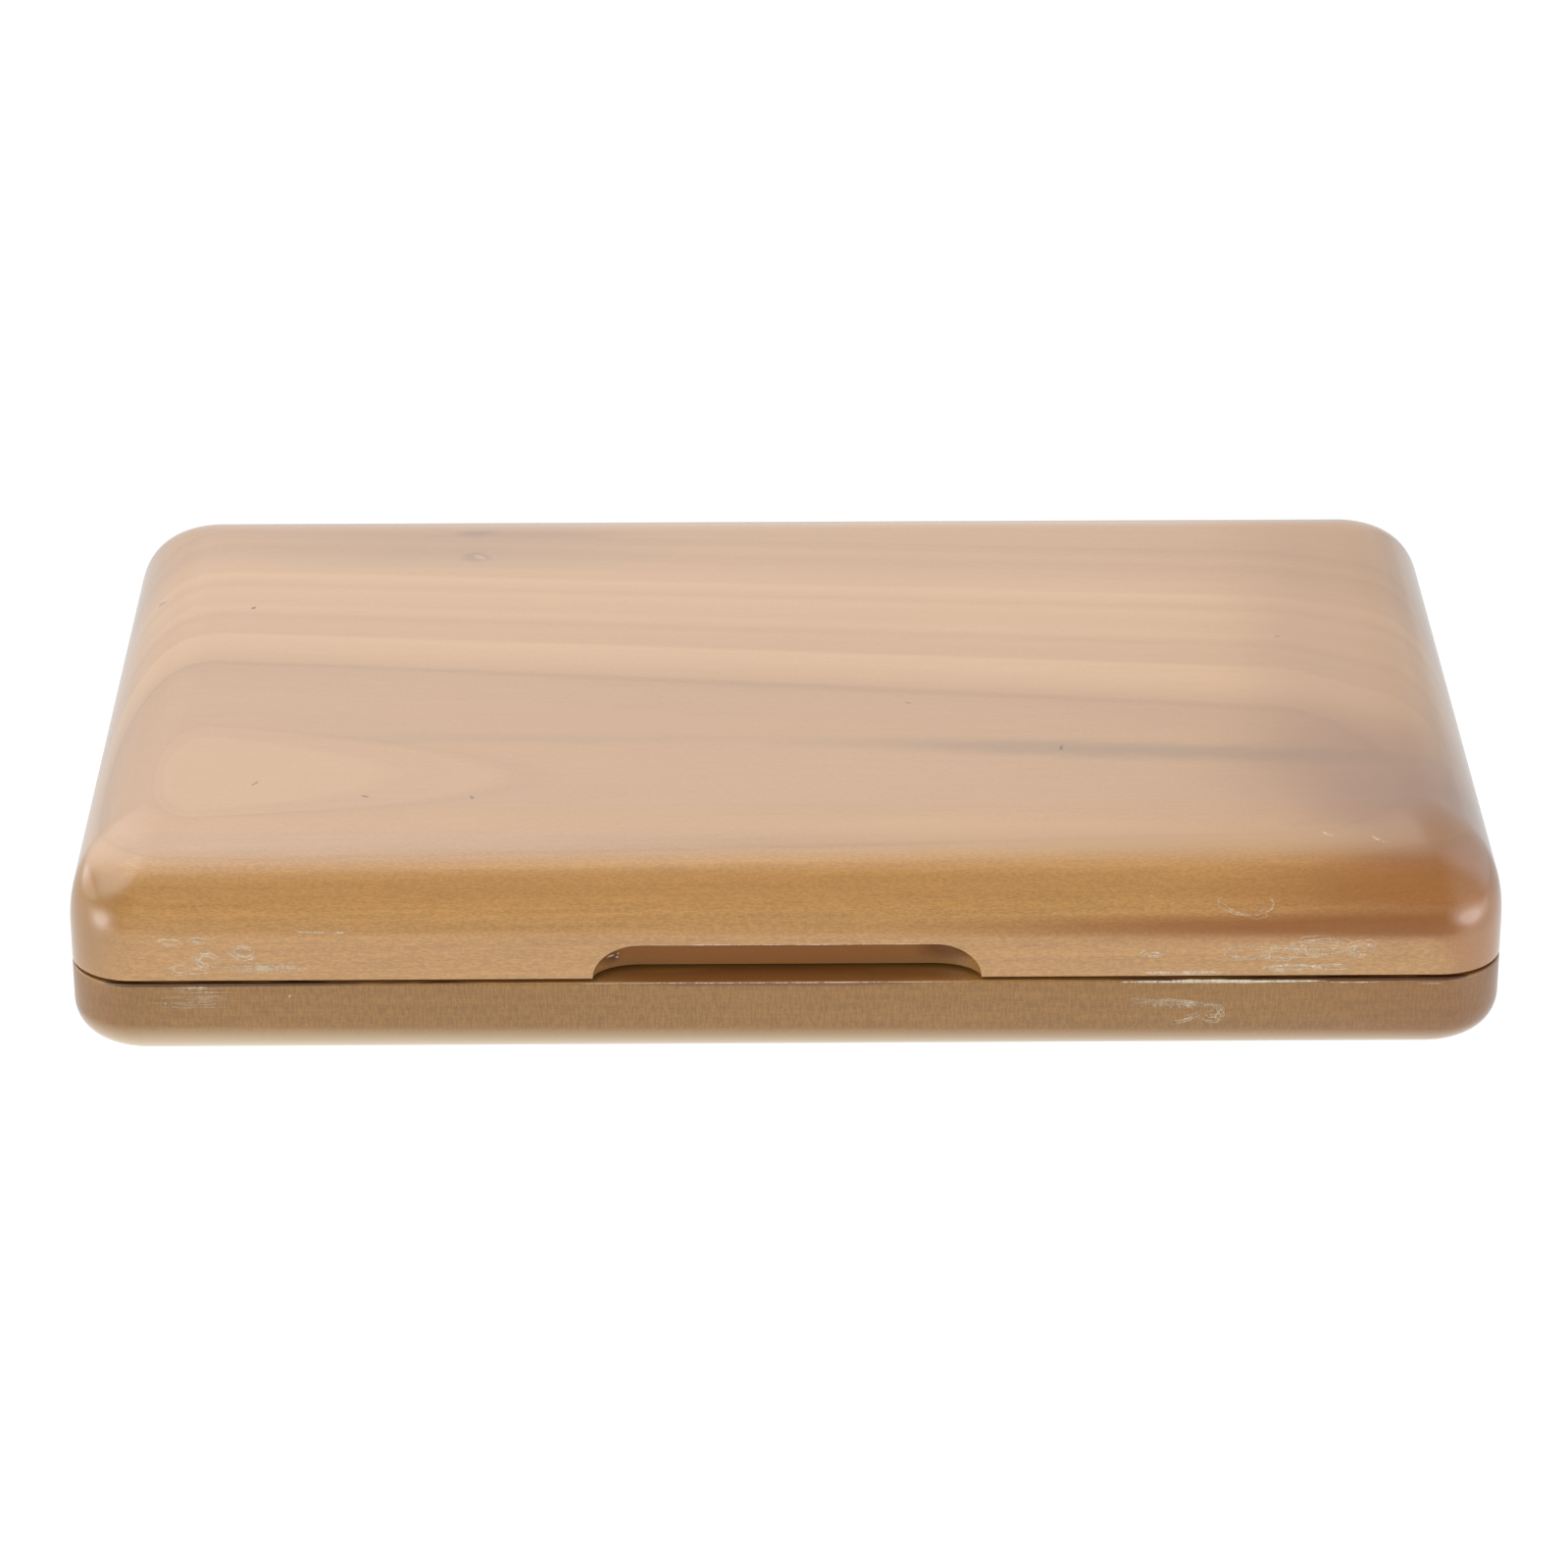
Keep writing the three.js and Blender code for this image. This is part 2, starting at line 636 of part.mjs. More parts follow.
const sides = [["left", -1], ["right", 1]];
const slotTurns = [0.3, 1.2, 2.1, 0.8];
for (const [word, direction] of sides) {
  const railScrewLength = railTop - railScrewTipHeight;
  const railScrew = woodScrew(railScrewHeadRadius, railScrewHeadHeight, railScrewShankRadius,
    railScrewLength, railSlotWidth, railSlotDepth);
  const x = direction * railScrewX;
  const seated = addPiece(base, `rail_screw_${word}`, railScrew, brass, x, railCentreY, railTop - screwSink);
  seated.rotation.z = direction * slotTurns[0];

  const hinge = new THREE.Group();
  hinge.position.set(direction * hingeCentreX, hingeAxisY, hingeAxisZ);
  reedCase.add(hinge);
  addPiece(hinge, `hinge_base_leaf_${word}`, hingeLeaf((number) => number % 2 === 0), brass);
  const lidLeaf = addPiece(hinge, `hinge_lid_leaf_${word}`, hingeLeaf((number) => number % 2 === 1), brass);
  lidLeaf.rotation.y = Math.PI;
  addPiece(hinge, `hinge_pin_${word}`, hingePin(), brass);
  [-1, 1].forEach((end, number) => {
    const screw = () => woodScrew(screwHeadRadius, screwHeadHeight, screwShankRadius,
      screwLength, slotWidth, slotDepth);
    const place = (end * screwSpacing) / 2;
    const height = seamGap / 2 + screwSink;
    const row = -screwFromAxis;
    const lower = addPiece(hinge, `base_screw_${word}_${number + 1}`, screw(), brass, place, row, -height);
    lower.rotation.z = slotTurns[number];
    const upper = addPiece(hinge, `lid_screw_${word}_${number + 1}`, screw(), brass, place, row, height);
    upper.rotation.set(Math.PI, 0, slotTurns[number + 2]);
  });

  const magnetPlace = direction * magnetX;
  const baseMagnetFoot = baseHeight - screwSink - magnetThickness;
  addPiece(base, `base_magnet_${word}`, discMagnet(), nickel, magnetPlace, magnetY, baseMagnetFoot);
  addPiece(lid, `lid_magnet_${word}`, discMagnet(), nickel, magnetPlace, magnetY, lidBottom + screwSink);
}

export default reedCase;
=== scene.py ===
"""The looks of a maple bassoon reed case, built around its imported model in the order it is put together."""

import bpy
import numpy as np
from mathutils import Euler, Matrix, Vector


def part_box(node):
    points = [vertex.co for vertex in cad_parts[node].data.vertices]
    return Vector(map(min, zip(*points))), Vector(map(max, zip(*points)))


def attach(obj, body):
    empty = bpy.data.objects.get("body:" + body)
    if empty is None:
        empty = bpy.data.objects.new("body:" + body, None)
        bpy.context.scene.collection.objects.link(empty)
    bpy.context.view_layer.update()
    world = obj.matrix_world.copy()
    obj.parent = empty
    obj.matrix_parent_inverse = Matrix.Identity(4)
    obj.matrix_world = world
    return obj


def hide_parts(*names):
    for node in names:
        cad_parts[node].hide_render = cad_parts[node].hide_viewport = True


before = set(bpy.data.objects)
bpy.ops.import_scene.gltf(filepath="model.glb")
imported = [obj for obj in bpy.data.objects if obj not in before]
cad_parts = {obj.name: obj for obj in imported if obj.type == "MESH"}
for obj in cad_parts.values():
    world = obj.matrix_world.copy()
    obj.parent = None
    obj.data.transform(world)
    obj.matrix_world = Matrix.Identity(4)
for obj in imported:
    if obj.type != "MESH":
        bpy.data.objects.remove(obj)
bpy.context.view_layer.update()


# Base shell
# The lower half is one block of plain-sawn maple, moulded round its underside and routed out on top for
# the pad, the peg rail, the hinges and two magnets. It is sanded and sprayed with satin lacquer.

mm = 0.001
base_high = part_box("base_shell")[1]
half_width = base_high.x
half_depth = base_high.y
base_top = base_high.z
corner_radius = 6.4 * mm
corner_tighten = 0.48
edge_break = 0.2 * mm
base_round_across = 3.8 * mm
base_round_rise = 4.4 * mm
overrun = 2 * mm
weld_distance = 0.0005 * mm
sharp_angle = np.radians(35)

side_wall = 8 * mm
front_wall = 8 * mm
rear_wall = 10 * mm
well_corner = 5 * mm
well_fillet = 1 * mm
well_mouth_break = 0.3 * mm
tray_floor = 2.4 * mm
ledge_height = 5.6 * mm
rail_low, rail_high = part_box("peg_rail")
rail_pilot_radius = 1.35 * mm
well_front = front_wall - half_depth
well_rear = half_depth - rear_wall
# The tray is routed in a second, deeper pass that stays a hair inside the first.
well_shy = 0.04 * mm

base_heartwood = "#7b5529"
base_sapwood = "#936933"
# Painted light: the pale colour of the round under the base stands for light from the panel below.
base_underside_lit = "#dcc6a4"


def ring_columns(side_steps, front_steps, end_steps, corner_steps):
    """One entry per column round a rounded rectangle, counter-clockwise from the front left: the shares of
    the flat half-lengths along x and y, and the shares of the corner radius along x and y. Straight
    sides keep one share at 1 and run the other, corners turn the radius through a quarter."""
    columns = []
    corners = ((1, -1, -90), (1, 1, 0), (-1, 1, 90), (-1, -1, 180))
    runs = (
        (np.linspace(-1, 1, front_steps, endpoint=False), None, -1),
        (None, np.linspace(-1, 1, end_steps, endpoint=False), 1),
        (np.linspace(1, -1, side_steps, endpoint=False), None, 1),
        (None, np.linspace(1, -1, end_steps, endpoint=False), -1),
    )
    for (along_x, along_y, side), (turn_x, turn_y, start) in zip(runs, corners):
        if along_y is None:
            sides = np.full_like(along_x, side)
            columns.append(np.stack([along_x, sides, 0 * sides, sides], 1))
        else:
            sides = np.full_like(along_y, side)
            columns.append(np.stack([sides, along_y, sides, 0 * sides], 1))
        angle = np.radians(start + np.linspace(0, 90, corner_steps, endpoint=False))
        flat = np.ones_like(angle)
        columns.append(np.stack([turn_x * flat, turn_y * flat, np.cos(angle), np.sin(angle)], 1))
    return np.concatenate(columns)


def stacked_rings(columns, half_x, half_y, corner, tighten, inset, height, centre_y=0.0):
    """Rows of a rounded rectangle drawn in by inset at each height: a point is the flat half-lengths times
    the column's flat shares plus the corner radius times its round shares. The radius loses the
    tightening share of the inset, and a share of 1 makes a true offset."""
    inset = np.asarray(inset, float)[:, None]
    height = np.asarray(height, float)[:, None]
    radius = np.maximum(corner - tighten * inset, corner * min(tighten, 0.5) / 2)
    x = columns[:, 0] * (half_x - inset - radius) + columns[:, 2] * radius
    y = columns[:, 1] * (half_y - inset - radius) + columns[:, 3] * radius + centre_y
    return np.stack([x, y, np.broadcast_to(height, x.shape)], -1)


def grid_quads(rows, columns, first=0, closed=True):
    """The quads between neighbouring rows and columns of a grid whose points run row by row. A closed
    grid also joins its last column to its first."""
    i, j = np.meshgrid(np.arange(rows - 1), np.arange(columns if closed else columns - 1), indexing="ij")
    beside = (j + 1) % columns
    corners = (i * columns + j, i * columns + beside, (i + 1) * columns + beside, (i + 1) * columns + j)
    return first + np.stack(corners, -1).reshape(-1, 4)


def mesh_object(name, points, faces):
    """A plain mesh object from an array of points and a list of faces."""
    mesh = bpy.data.meshes.new(name)
    mesh.from_pydata(np.asarray(points).reshape(-1, 3).tolist(), [], [list(face) for face in faces])
    piece = bpy.data.objects.new(name, mesh)
    bpy.context.collection.objects.link(piece)
    return piece


def make_mesh(name, points, faces):
    """A mesh object with its coincident points merged, its faces smooth and its sharp edges marked."""
    piece = mesh_object(name, points, faces)
    weld = piece.modifiers.new("weld", "WELD")
    weld.merge_threshold = weld_distance
    finish_mesh(piece)
    return piece


def finish_mesh(piece):
    """Replaces a piece's mesh by what its modifiers make of it, and keeps edges sharp where they turn
    by more than sharp_angle."""
    bpy.context.view_layer.update()
    evaluated = piece.evaluated_get(bpy.context.evaluated_depsgraph_get())
    finished = bpy.data.meshes.new_from_object(evaluated)
    piece.modifiers.clear()
    piece.data = finished
    finished.shade_smooth()
    finished.set_sharp_from_angle(angle=sharp_angle)


def closed_stack(name, rings):
    """A closed solid from stacked rings, with one flat face over each end ring."""
    rows, columns = rings.shape[:2]
    faces = grid_quads(rows, columns).tolist()
    faces.append(list(range(columns))[::-1])
    faces.append(list(range((rows - 1) * columns, rows * columns)))
    return make_mesh(name, rings, faces)


def combine(piece, parts, operation="DIFFERENCE"):
    """Takes each part out of the piece, as a router does, or joins it on, and deletes the parts."""
    for part in parts:
        change = piece.modifiers.new("combine", "BOOLEAN")
        change.operation = operation
        change.solver = "EXACT"
        change.object = part
        finish_mesh(piece)
        bpy.data.objects.remove(part)


def turned_solid(name, profile, sides, place, along="z"):
    """A solid of revolution: each profile point is a radius and a distance along the axis, taken round a
    full circle, then set with its axis along x, y or z at the given place."""
    radius, reach = np.asarray(profile, float).T
    angle = np.linspace(0, 2 * np.pi, sides, endpoint=False)
    ring = np.stack([np.cos(angle), np.sin(angle)], -1)
    across = radius[:, None, None] * ring[None]
    length = np.broadcast_to(reach[:, None], across.shape[:2])
    order = {"z": (across[..., 0], across[..., 1], length), "x": (length, across[..., 0], across[..., 1]),
             "y": (across[..., 1], length, across[..., 0])}[along]
    return closed_stack(name, np.stack(order, -1) + np.array(place))


def bore_cutter(radius, start, end, sides, place, along="z"):
    """A straight round bore's cutter, from start to end along its axis."""
    return turned_solid("cutter", [(radius, start), (radius, end)], sides, place, along)


def block_cutter(low, high):
    """A box between two corners, for cutting."""
    low, high = np.array(low), np.array(high)
    bits = np.array([(0, 0), (1, 0), (1, 1), (0, 1)])
    rings = [np.column_stack([low[:2] + bits * (high - low)[:2], np.full(4, z)]) for z in (low[2], high[2])]
    return closed_stack("cutter", np.array(rings))


def well_cutter(floor, rim, half_x, front, rear, side):
    """A routed well's cutter. Side is 1 when it opens upwards and -1 when it opens downwards. Its floor
    is rounded by a quarter circle and its mouth opens out at 45 degrees."""
    turn = np.radians(np.linspace(0, 90, 6))
    inset = well_fillet * (1 - np.sin(turn))
    height = floor + side * well_fillet * (1 - np.cos(turn))
    inset = np.concatenate([inset, [0, -well_mouth_break, -well_mouth_break]])
    mouth = [rim - side * well_mouth_break, rim, rim + side * overrun]
    columns = ring_columns(2, 2, 2, 12)
    rings = stacked_rings(columns, half_x, (rear - front) / 2, well_corner, 1, inset,
                          np.concatenate([height, mouth]), (front + rear) / 2)
    return closed_stack("cutter", rings if side > 0 else rings[::-1])


# Where the hinges and magnets are let in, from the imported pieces, and the play that their seats have.
leaf_low, leaf_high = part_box("hinge_base_leaf_right")
pin_low, pin_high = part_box("hinge_pin_right")
lid_low, lid_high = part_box("lid_shell")
axis_y = (pin_low.y + pin_high.y) / 2
axis_z = (pin_low.z + pin_high.z) / 2
fit_gap = 0.25 * mm
seat_gap = 0.15 * mm
bore_gap = 0.1 * mm
leaf_thickness = 0.9 * mm
pilot_radius = 1 * mm
open_angle = 96
stop_clearance = 4


def hinge_cutters(rim, side):
    """What a shell loses at the rear: a V along the whole edge behind the pins, and for each hinge the
    leaf's mortise and the knuckles' groove."""
    slope = np.tan(np.radians((open_angle + stop_clearance) / 2))
    back = half_depth - axis_y + overrun
    wedge = [(axis_y, axis_z), (axis_y + back, axis_z), (axis_y + back, axis_z + side * slope * back)]
    wedge = wedge if side > 0 else wedge[::-1]
    ends = [[(x, y, z) for y, z in wedge] for x in (-half_width - overrun, half_width + overrun)]
    cutters = [closed_stack("cutter", np.array(ends))]
    for end in (-1, 1):
        span = sorted((end * (leaf_low.x - fit_gap), end * (leaf_high.x + fit_gap)))
        bed = sorted((rim + side * (leaf_thickness + seat_gap), rim - side * overrun))
        cutters.append(block_cutter((span[0], leaf_low.y - fit_gap, bed[0]), (span[1], axis_y, bed[1])))
        reach = sorted((end * (pin_low.x - fit_gap), end * (pin_high.x + fit_gap)))
        radius = (leaf_high.y - axis_y) + fit_gap
        cutters.append(bore_cutter(radius, *reach, 48, (0, axis_y, axis_z), "x"))
        for number in (1, 2):
            low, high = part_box(f"base_screw_{'left' if end < 0 else 'right'}_{number}")
            ends = sorted((rim - side * overrun, rim + side * (high.z - low.z + seat_gap)))
            middle = ((low.x + high.x) / 2, (low.y + high.y) / 2, 0)
            cutters.append(bore_cutter(pilot_radius, *ends, 24, middle))
    return cutters


def magnet_cutters(rim, side):
    """The two blind holes for the magnets in a rim, with eased mouths."""
    low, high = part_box("base_magnet_right")
    radius = (high.x - low.x) / 2 + fit_gap
    depth = high.z - low.z + seat_gap
    ease = fit_gap
    profile = [(radius, -depth), (radius, -ease), (radius + ease, 0), (radius + ease, overrun)]
    profile = [(r, side * d) for r, d in profile]
    profile = profile if side > 0 else profile[::-1]
    middle = ((high.x + low.x) / 2, (high.y + low.y) / 2)
    return [turned_solid("cutter", profile, 48, (end * middle[0], middle[1], rim)) for end in (-1, 1)]


def make_base_shell():
    """The base's skin: a quarter circle stretched to the round's reach and rise runs up from the
    underside to an upright face, whose top edge is broken by a small quarter round."""
    turn = np.radians(np.linspace(0, 90, 22))
    ease = np.radians(np.linspace(0, 90, 6))
    inset = [base_round_across * (1 - np.sin(turn)), edge_break * (1 - np.cos(ease))]
    height = [base_round_rise * (1 - np.cos(turn)), base_top - edge_break * (1 - np.sin(ease))]
    columns = ring_columns(80, 80, 50, 22)
    rings = stacked_rings(columns, half_width, half_depth, corner_radius, corner_tighten,
                          np.concatenate(inset), np.concatenate(height))
    shell = closed_stack("base_body", rings)
    tray_rear = rail_low.y
    cutters = [
        well_cutter(tray_floor, base_top, half_width - side_wall - well_shy, well_front + well_shy,
                    tray_rear, 1),
        well_cutter(ledge_height, base_top, half_width - side_wall, well_front, well_rear, 1),
    ]
    low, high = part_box("rail_screw_right")
    for end in (-1, 1):
        middle = (end * (low.x + high.x) / 2, (low.y + high.y) / 2, 0)
        cutters.append(bore_cutter(rail_pilot_radius, low.z - seat_gap, ledge_height + overrun, 32, middle))
    combine(shell, cutters + hinge_cutters(base_top, -1) + magnet_cutters(base_top, 1))
    return shell


def linear(hex_colour):
    """An sRGB hex colour as linear RGBA: each channel over 0.04045 is ((c + 0.055) / 1.055) to the 2.4."""
    channels = np.array([int(hex_colour[i:i + 2], 16) for i in (1, 3, 5)]) / 255
    bent = np.where(channels > 0.04045, ((channels + 0.055) / 1.055) ** 2.4, channels / 12.92)
    return (*bent.tolist(), 1.0)


def add_node(tree, kind, values=(), stops=None, **settings):
    """Adds one shader node: its settings by name, then its inputs by name or place, where a node or a
    socket is linked and anything else is set. Stops are a ramp's places and colours or greys."""
    node = tree.nodes.new("ShaderNode" + kind)
    for name, value in settings.items():
        setattr(node, name, value)
    if stops:
        elements = node.color_ramp.elements
        while len(elements) < len(stops):
            elements.new(0.5)
        for element, (place, colour) in zip(elements, stops):
            element.position = place
            element.color = colour if isinstance(colour, tuple) else (colour, colour, colour, 1)
    for place, value in values.items() if isinstance(values, dict) else enumerate(values):
        value = value.outputs[0] if isinstance(value, bpy.types.Node) else value
        if isinstance(value, bpy.types.NodeSocket):
            tree.links.new(value, node.inputs[place])
        elif value is not None:
            node.inputs[place].default_value = value
    return node


def new_material(name):
    """An empty node material and its tree."""
    material = bpy.data.materials.new(name)
    material.use_nodes = True
    material.node_tree.nodes.clear()
    return material, material.node_tree


# Noise cells along, across and up a board, in millimetres, and their detail. Real pores and rays are
# half as wide, and are drawn this coarse so that they show.
grain_cells = {"waver": ((45, 9, 9), 2), "line": ((80, 50, 0.8), 3), "fibre": ((7, 0.4, 0.4), 3),
               "pore": ((0.5, 0.13, 0.13), 1), "fleck": ((0.2, 0.2, 1.2), 1), "patch": ((40, 16, 16), 1),
               "drift": ((5, 2, 2), 2)}


def lacquered_maple(name, board, light, dark, edge, gloss, marks=()):
    """Satin-lacquered plain-sawn maple. Its growth layers lie nearly flat and climb towards the rear as a
    shallow trough, so the depth below them, in millimetres, is
    z - ((y - valley)^2 / rise + tilt * x + twist * x * (y - valley)), less a bend at each end. A ramp over
    that depth gives the bands, and noise stretched along the grain gives fibres and the short dashes
    of cut pores and rays. Marks are soft ovals of another colour: place, half-lengths, turn, colour,
    strength and the share of the radius that is full. Clear lacquer puts an even sheen over it all."""
    material, tree = new_material(name)
    place = add_node(tree, "TexCoord")
    in_mm = add_node(tree, "Mapping", {"Vector": place.outputs["Object"], "Scale": (1000, 1000, 1000)})
    x, y, z = add_node(tree, "SeparateXYZ", [in_mm]).outputs

    # How deep each point lies in the growth layers.
    across = add_node(tree, "Math", [y, -board["valley"]], operation="ADD")
    climb = add_node(tree, "Math", [x, board["twist"]], operation="MULTIPLY")
    climb = add_node(tree, "Math", [across, 1 / board["rise"], climb], operation="MULTIPLY_ADD")
    level = add_node(tree, "Math", [across, climb], operation="MULTIPLY")
    level = add_node(tree, "Math", [x, board["tilt"], level], operation="MULTIPLY_ADD")
    for start, full in board["bends"]:
        bend = add_node(tree, "MapRange", [x, start, full, 0, end_bend], interpolation_type="SMOOTHSTEP")
        level = add_node(tree, "Math", [level, bend], operation="ADD")
    depth = add_node(tree, "Math", [z, level], operation="SUBTRACT")

    layered = add_node(tree, "CombineXYZ", [x, y, depth])
    noise = {}
    for use, (cell, detail) in grain_cells.items():
        follow = layered if use == "line" else in_mm
        cells = add_node(tree, "Mapping", {"Vector": follow, "Scale": [1 / size for size in cell]})
        noise[use] = add_node(tree, "TexNoise", {"Vector": cells, "Scale": 1, "Detail": detail})
    for use in ("pore", "fleck"):
        noise[use + "_cut"] = add_node(tree, "MapRange", [noise[use], 0.42, 0.6, 0, 1])

    waver = add_node(tree, "Math", [noise["waver"], 0.5], operation="SUBTRACT")
    depth = add_node(tree, "Math", [waver, layer_waver, depth], operation="MULTIPLY_ADD")
    stops = board["stops"]
    first, last = stops[0][0], stops[-1][0]
    span = add_node(tree, "MapRange", [depth, first, last, 0, 1])
    stops = [((at - first) / (last - first), shade) for at, shade in stops]
    tone = add_node(tree, "ValToRGB", [span], stops=stops)
    shares = {"line": 0.25, "fibre": 0.25, "patch": 0.2, "pore_cut": 0.12, "fleck_cut": 0.05}
    for use, share in shares.items():
        tone = add_node(tree, "Math", [noise[use], share, tone], operation="MULTIPLY_ADD")
    tone = add_node(tree, "Math", [tone, sum(shares.values()) / 2], operation="SUBTRACT")
    wood = add_node(tree, "MixRGB", [tone, linear(dark), linear(light)], use_clamp=False)

    # The front edge of the board is even sapwood, cut so that its pores and rays show most. On the lid its
    # colour is lighter still, as painted light from the front.
    fine = 1.0
    for use, share in board["edge_shares"].items():
        fine = add_node(tree, "Math", [noise[use], share, fine], operation="MULTIPLY_ADD")
    fine = add_node(tree, "Math", [fine, sum(board["edge_shares"].values()) / 2], operation="SUBTRACT")
    edge_wood = add_node(tree, "MixRGB", [1, linear(edge), fine], blend_type="MULTIPLY")
    at_edge = add_node(tree, "MapRange", [y, *front_edge_reach, 1, 0], interpolation_type="SMOOTHSTEP")
    wood = add_node(tree, "MixRGB", [at_edge, wood, edge_wood])

    # Marks, their outlines drawn out a little by noise so that none is a plain oval.
    drift = noise["drift"].outputs["Color"]
    drift = add_node(tree, "VectorMath", [drift, (0.5, 0.5, 0.5)], operation="SUBTRACT")
    drift = add_node(tree, "VectorMath", [drift, mark_drift], operation="MULTIPLY")
    drifted = add_node(tree, "VectorMath", [in_mm, drift], operation="ADD")
    for centre, half_lengths, turn, colour, strength, full in marks:
        oval = add_node(tree, "Mapping", {
            "Vector": drifted, "Location": centre, "Rotation": (0, 0, np.radians(turn)),
            "Scale": half_lengths,
        }, vector_type="TEXTURE")
        reach = add_node(tree, "VectorMath", [oval], operation="LENGTH").outputs["Value"]
        amount = add_node(tree, "MapRange", [reach, full, 1, strength, 0], interpolation_type="SMOOTHSTEP")
        wood = add_node(tree, "MixRGB", [amount, wood, linear(colour)])

    # The round under the case is painted pale, as painted light from the lit panel below, a little lower at
    # the right end.
    if "painted_light_below" in board:
        start, full, rise, colour = board["painted_light_below"]
        height = add_node(tree, "Math", [x, rise, z], operation="MULTIPLY_ADD")
        height = add_node(tree, "Math", [noise["fleck"], 2 * fleck_waver, height], operation="MULTIPLY_ADD")
        amount = add_node(tree, "MapRange", [height, start + fleck_waver, full + fleck_waver, 0, 0.9])
        wood = add_node(tree, "MixRGB", [amount, wood, linear(colour)])

    relief = add_node(tree, "Math", [noise["fibre"], 0.5, noise["pore"]], operation="MULTIPLY_ADD")
    bump = add_node(tree, "Bump", {"Height": relief, "Strength": 0.1, "Distance": 0.02 * mm})
    surface = add_node(tree, "BsdfPrincipled", {
        "Base Color": wood, "Roughness": 0.36, "IOR": 1.5, "Normal": bump,
        "Coat Weight": gloss, "Coat Roughness": 0.13, "Coat IOR": 1.6,
    })
    add_node(tree, "OutputMaterial", {"Surface": surface})
    return material


# All in millimetres. The layers waver by a tenth of one and bend down at both ends of the board. The front
# edge's sapwood, on the lid partly painted light from the front, fades out between 1.1 and 4 mm behind the
# front. Flecks fray the edge of the painted light on the round below.
layer_waver = 0.12
end_bend = 1.4
front_edge_reach = (-42.9, -40.0)
mark_drift = (3, 1.5, 0)
fleck_waver = 0.2

# The base is cut from another board than the lid: greyer, with its bands closer together and strong rays.
base_board = {
    "rise": 260, "tilt": -0.006, "twist": 0.0002, "valley": -10, "bends": [(50, 63), (-59, -66.5)],
    "stops": [(-6, 0.5), (-3, 0.3), (0, 0.55), (1.5, 0.35), (2.6, 0.5), (3.6, 0.4), (4.9, 0.6), (6, 0.45),
              (7, 0.6), (8.3, 0.4), (12, 0.6)],
    "edge_shares": {"line": 0.32, "fibre": 0.2, "pore_cut": 0.12, "fleck_cut": 0.2},
    # Painted light from the lit panel below, on the round under the base.
    "painted_light_below": (3.2, 0.4, 0.01, base_underside_lit),
}
# A browner cloud at each front corner, painted shade along the seam between lid and base, and painted shade
# together with a finger stain on the lip below the notch.
base_marks = [
    ((70, -44, 4), (26, 14, 20), 0, "#7d4a2c", 0.4, 0),
    ((-70, -44, 6), (14, 12, 5), 0, "#6d4426", 0.35, 0),
    # Painted shade: the dark line where the seam between lid and base lies in shade.
    ((-69, -44, 8.4), (51, 0.8, 0.38), 0, "#40200e", 0.85, 0.7),
    ((69, -44, 8.4), (51, 0.8, 0.38), 0, "#40200e", 0.85, 0.7),
    # Painted shade with a finger stain: the base's lip, seen through the notch, darkened where shade falls.
    ((-1, -42.8, 8.2), (22, 2.4, 0.6), 0, "#6b3b16", 0.62, 0.55),
]
base_maple = lacquered_maple("satin_maple_base", base_board, base_sapwood, base_heartwood, base_sapwood, 0.5,
                             base_marks)
base_body = make_base_shell()
base_body.data.materials.append(base_maple)
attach(base_body, "base")
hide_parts("base_shell")


# Base pad
# A thin foam pad under velvet, glued into the tray. The velvet is cut a little large and tucked round the
# foam's edge, so it lies full and slightly uneven on top.

pad_low, pad_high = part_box("base_pad")
pad_corner = 4.75 * mm
pad_roll = 0.7 * mm
pad_rows = 44
pad_columns = 84
pad_crowding = 0.8
pad_shoulder_share = 0.62
pad_drop_share = 0.9
pad_tuck_share = 0.96
velvet_slack = 0.012
velvet_lift = 0.35 * mm
velvet_shaded = "#2f080e"
velvet_lit = "#6f1c24"


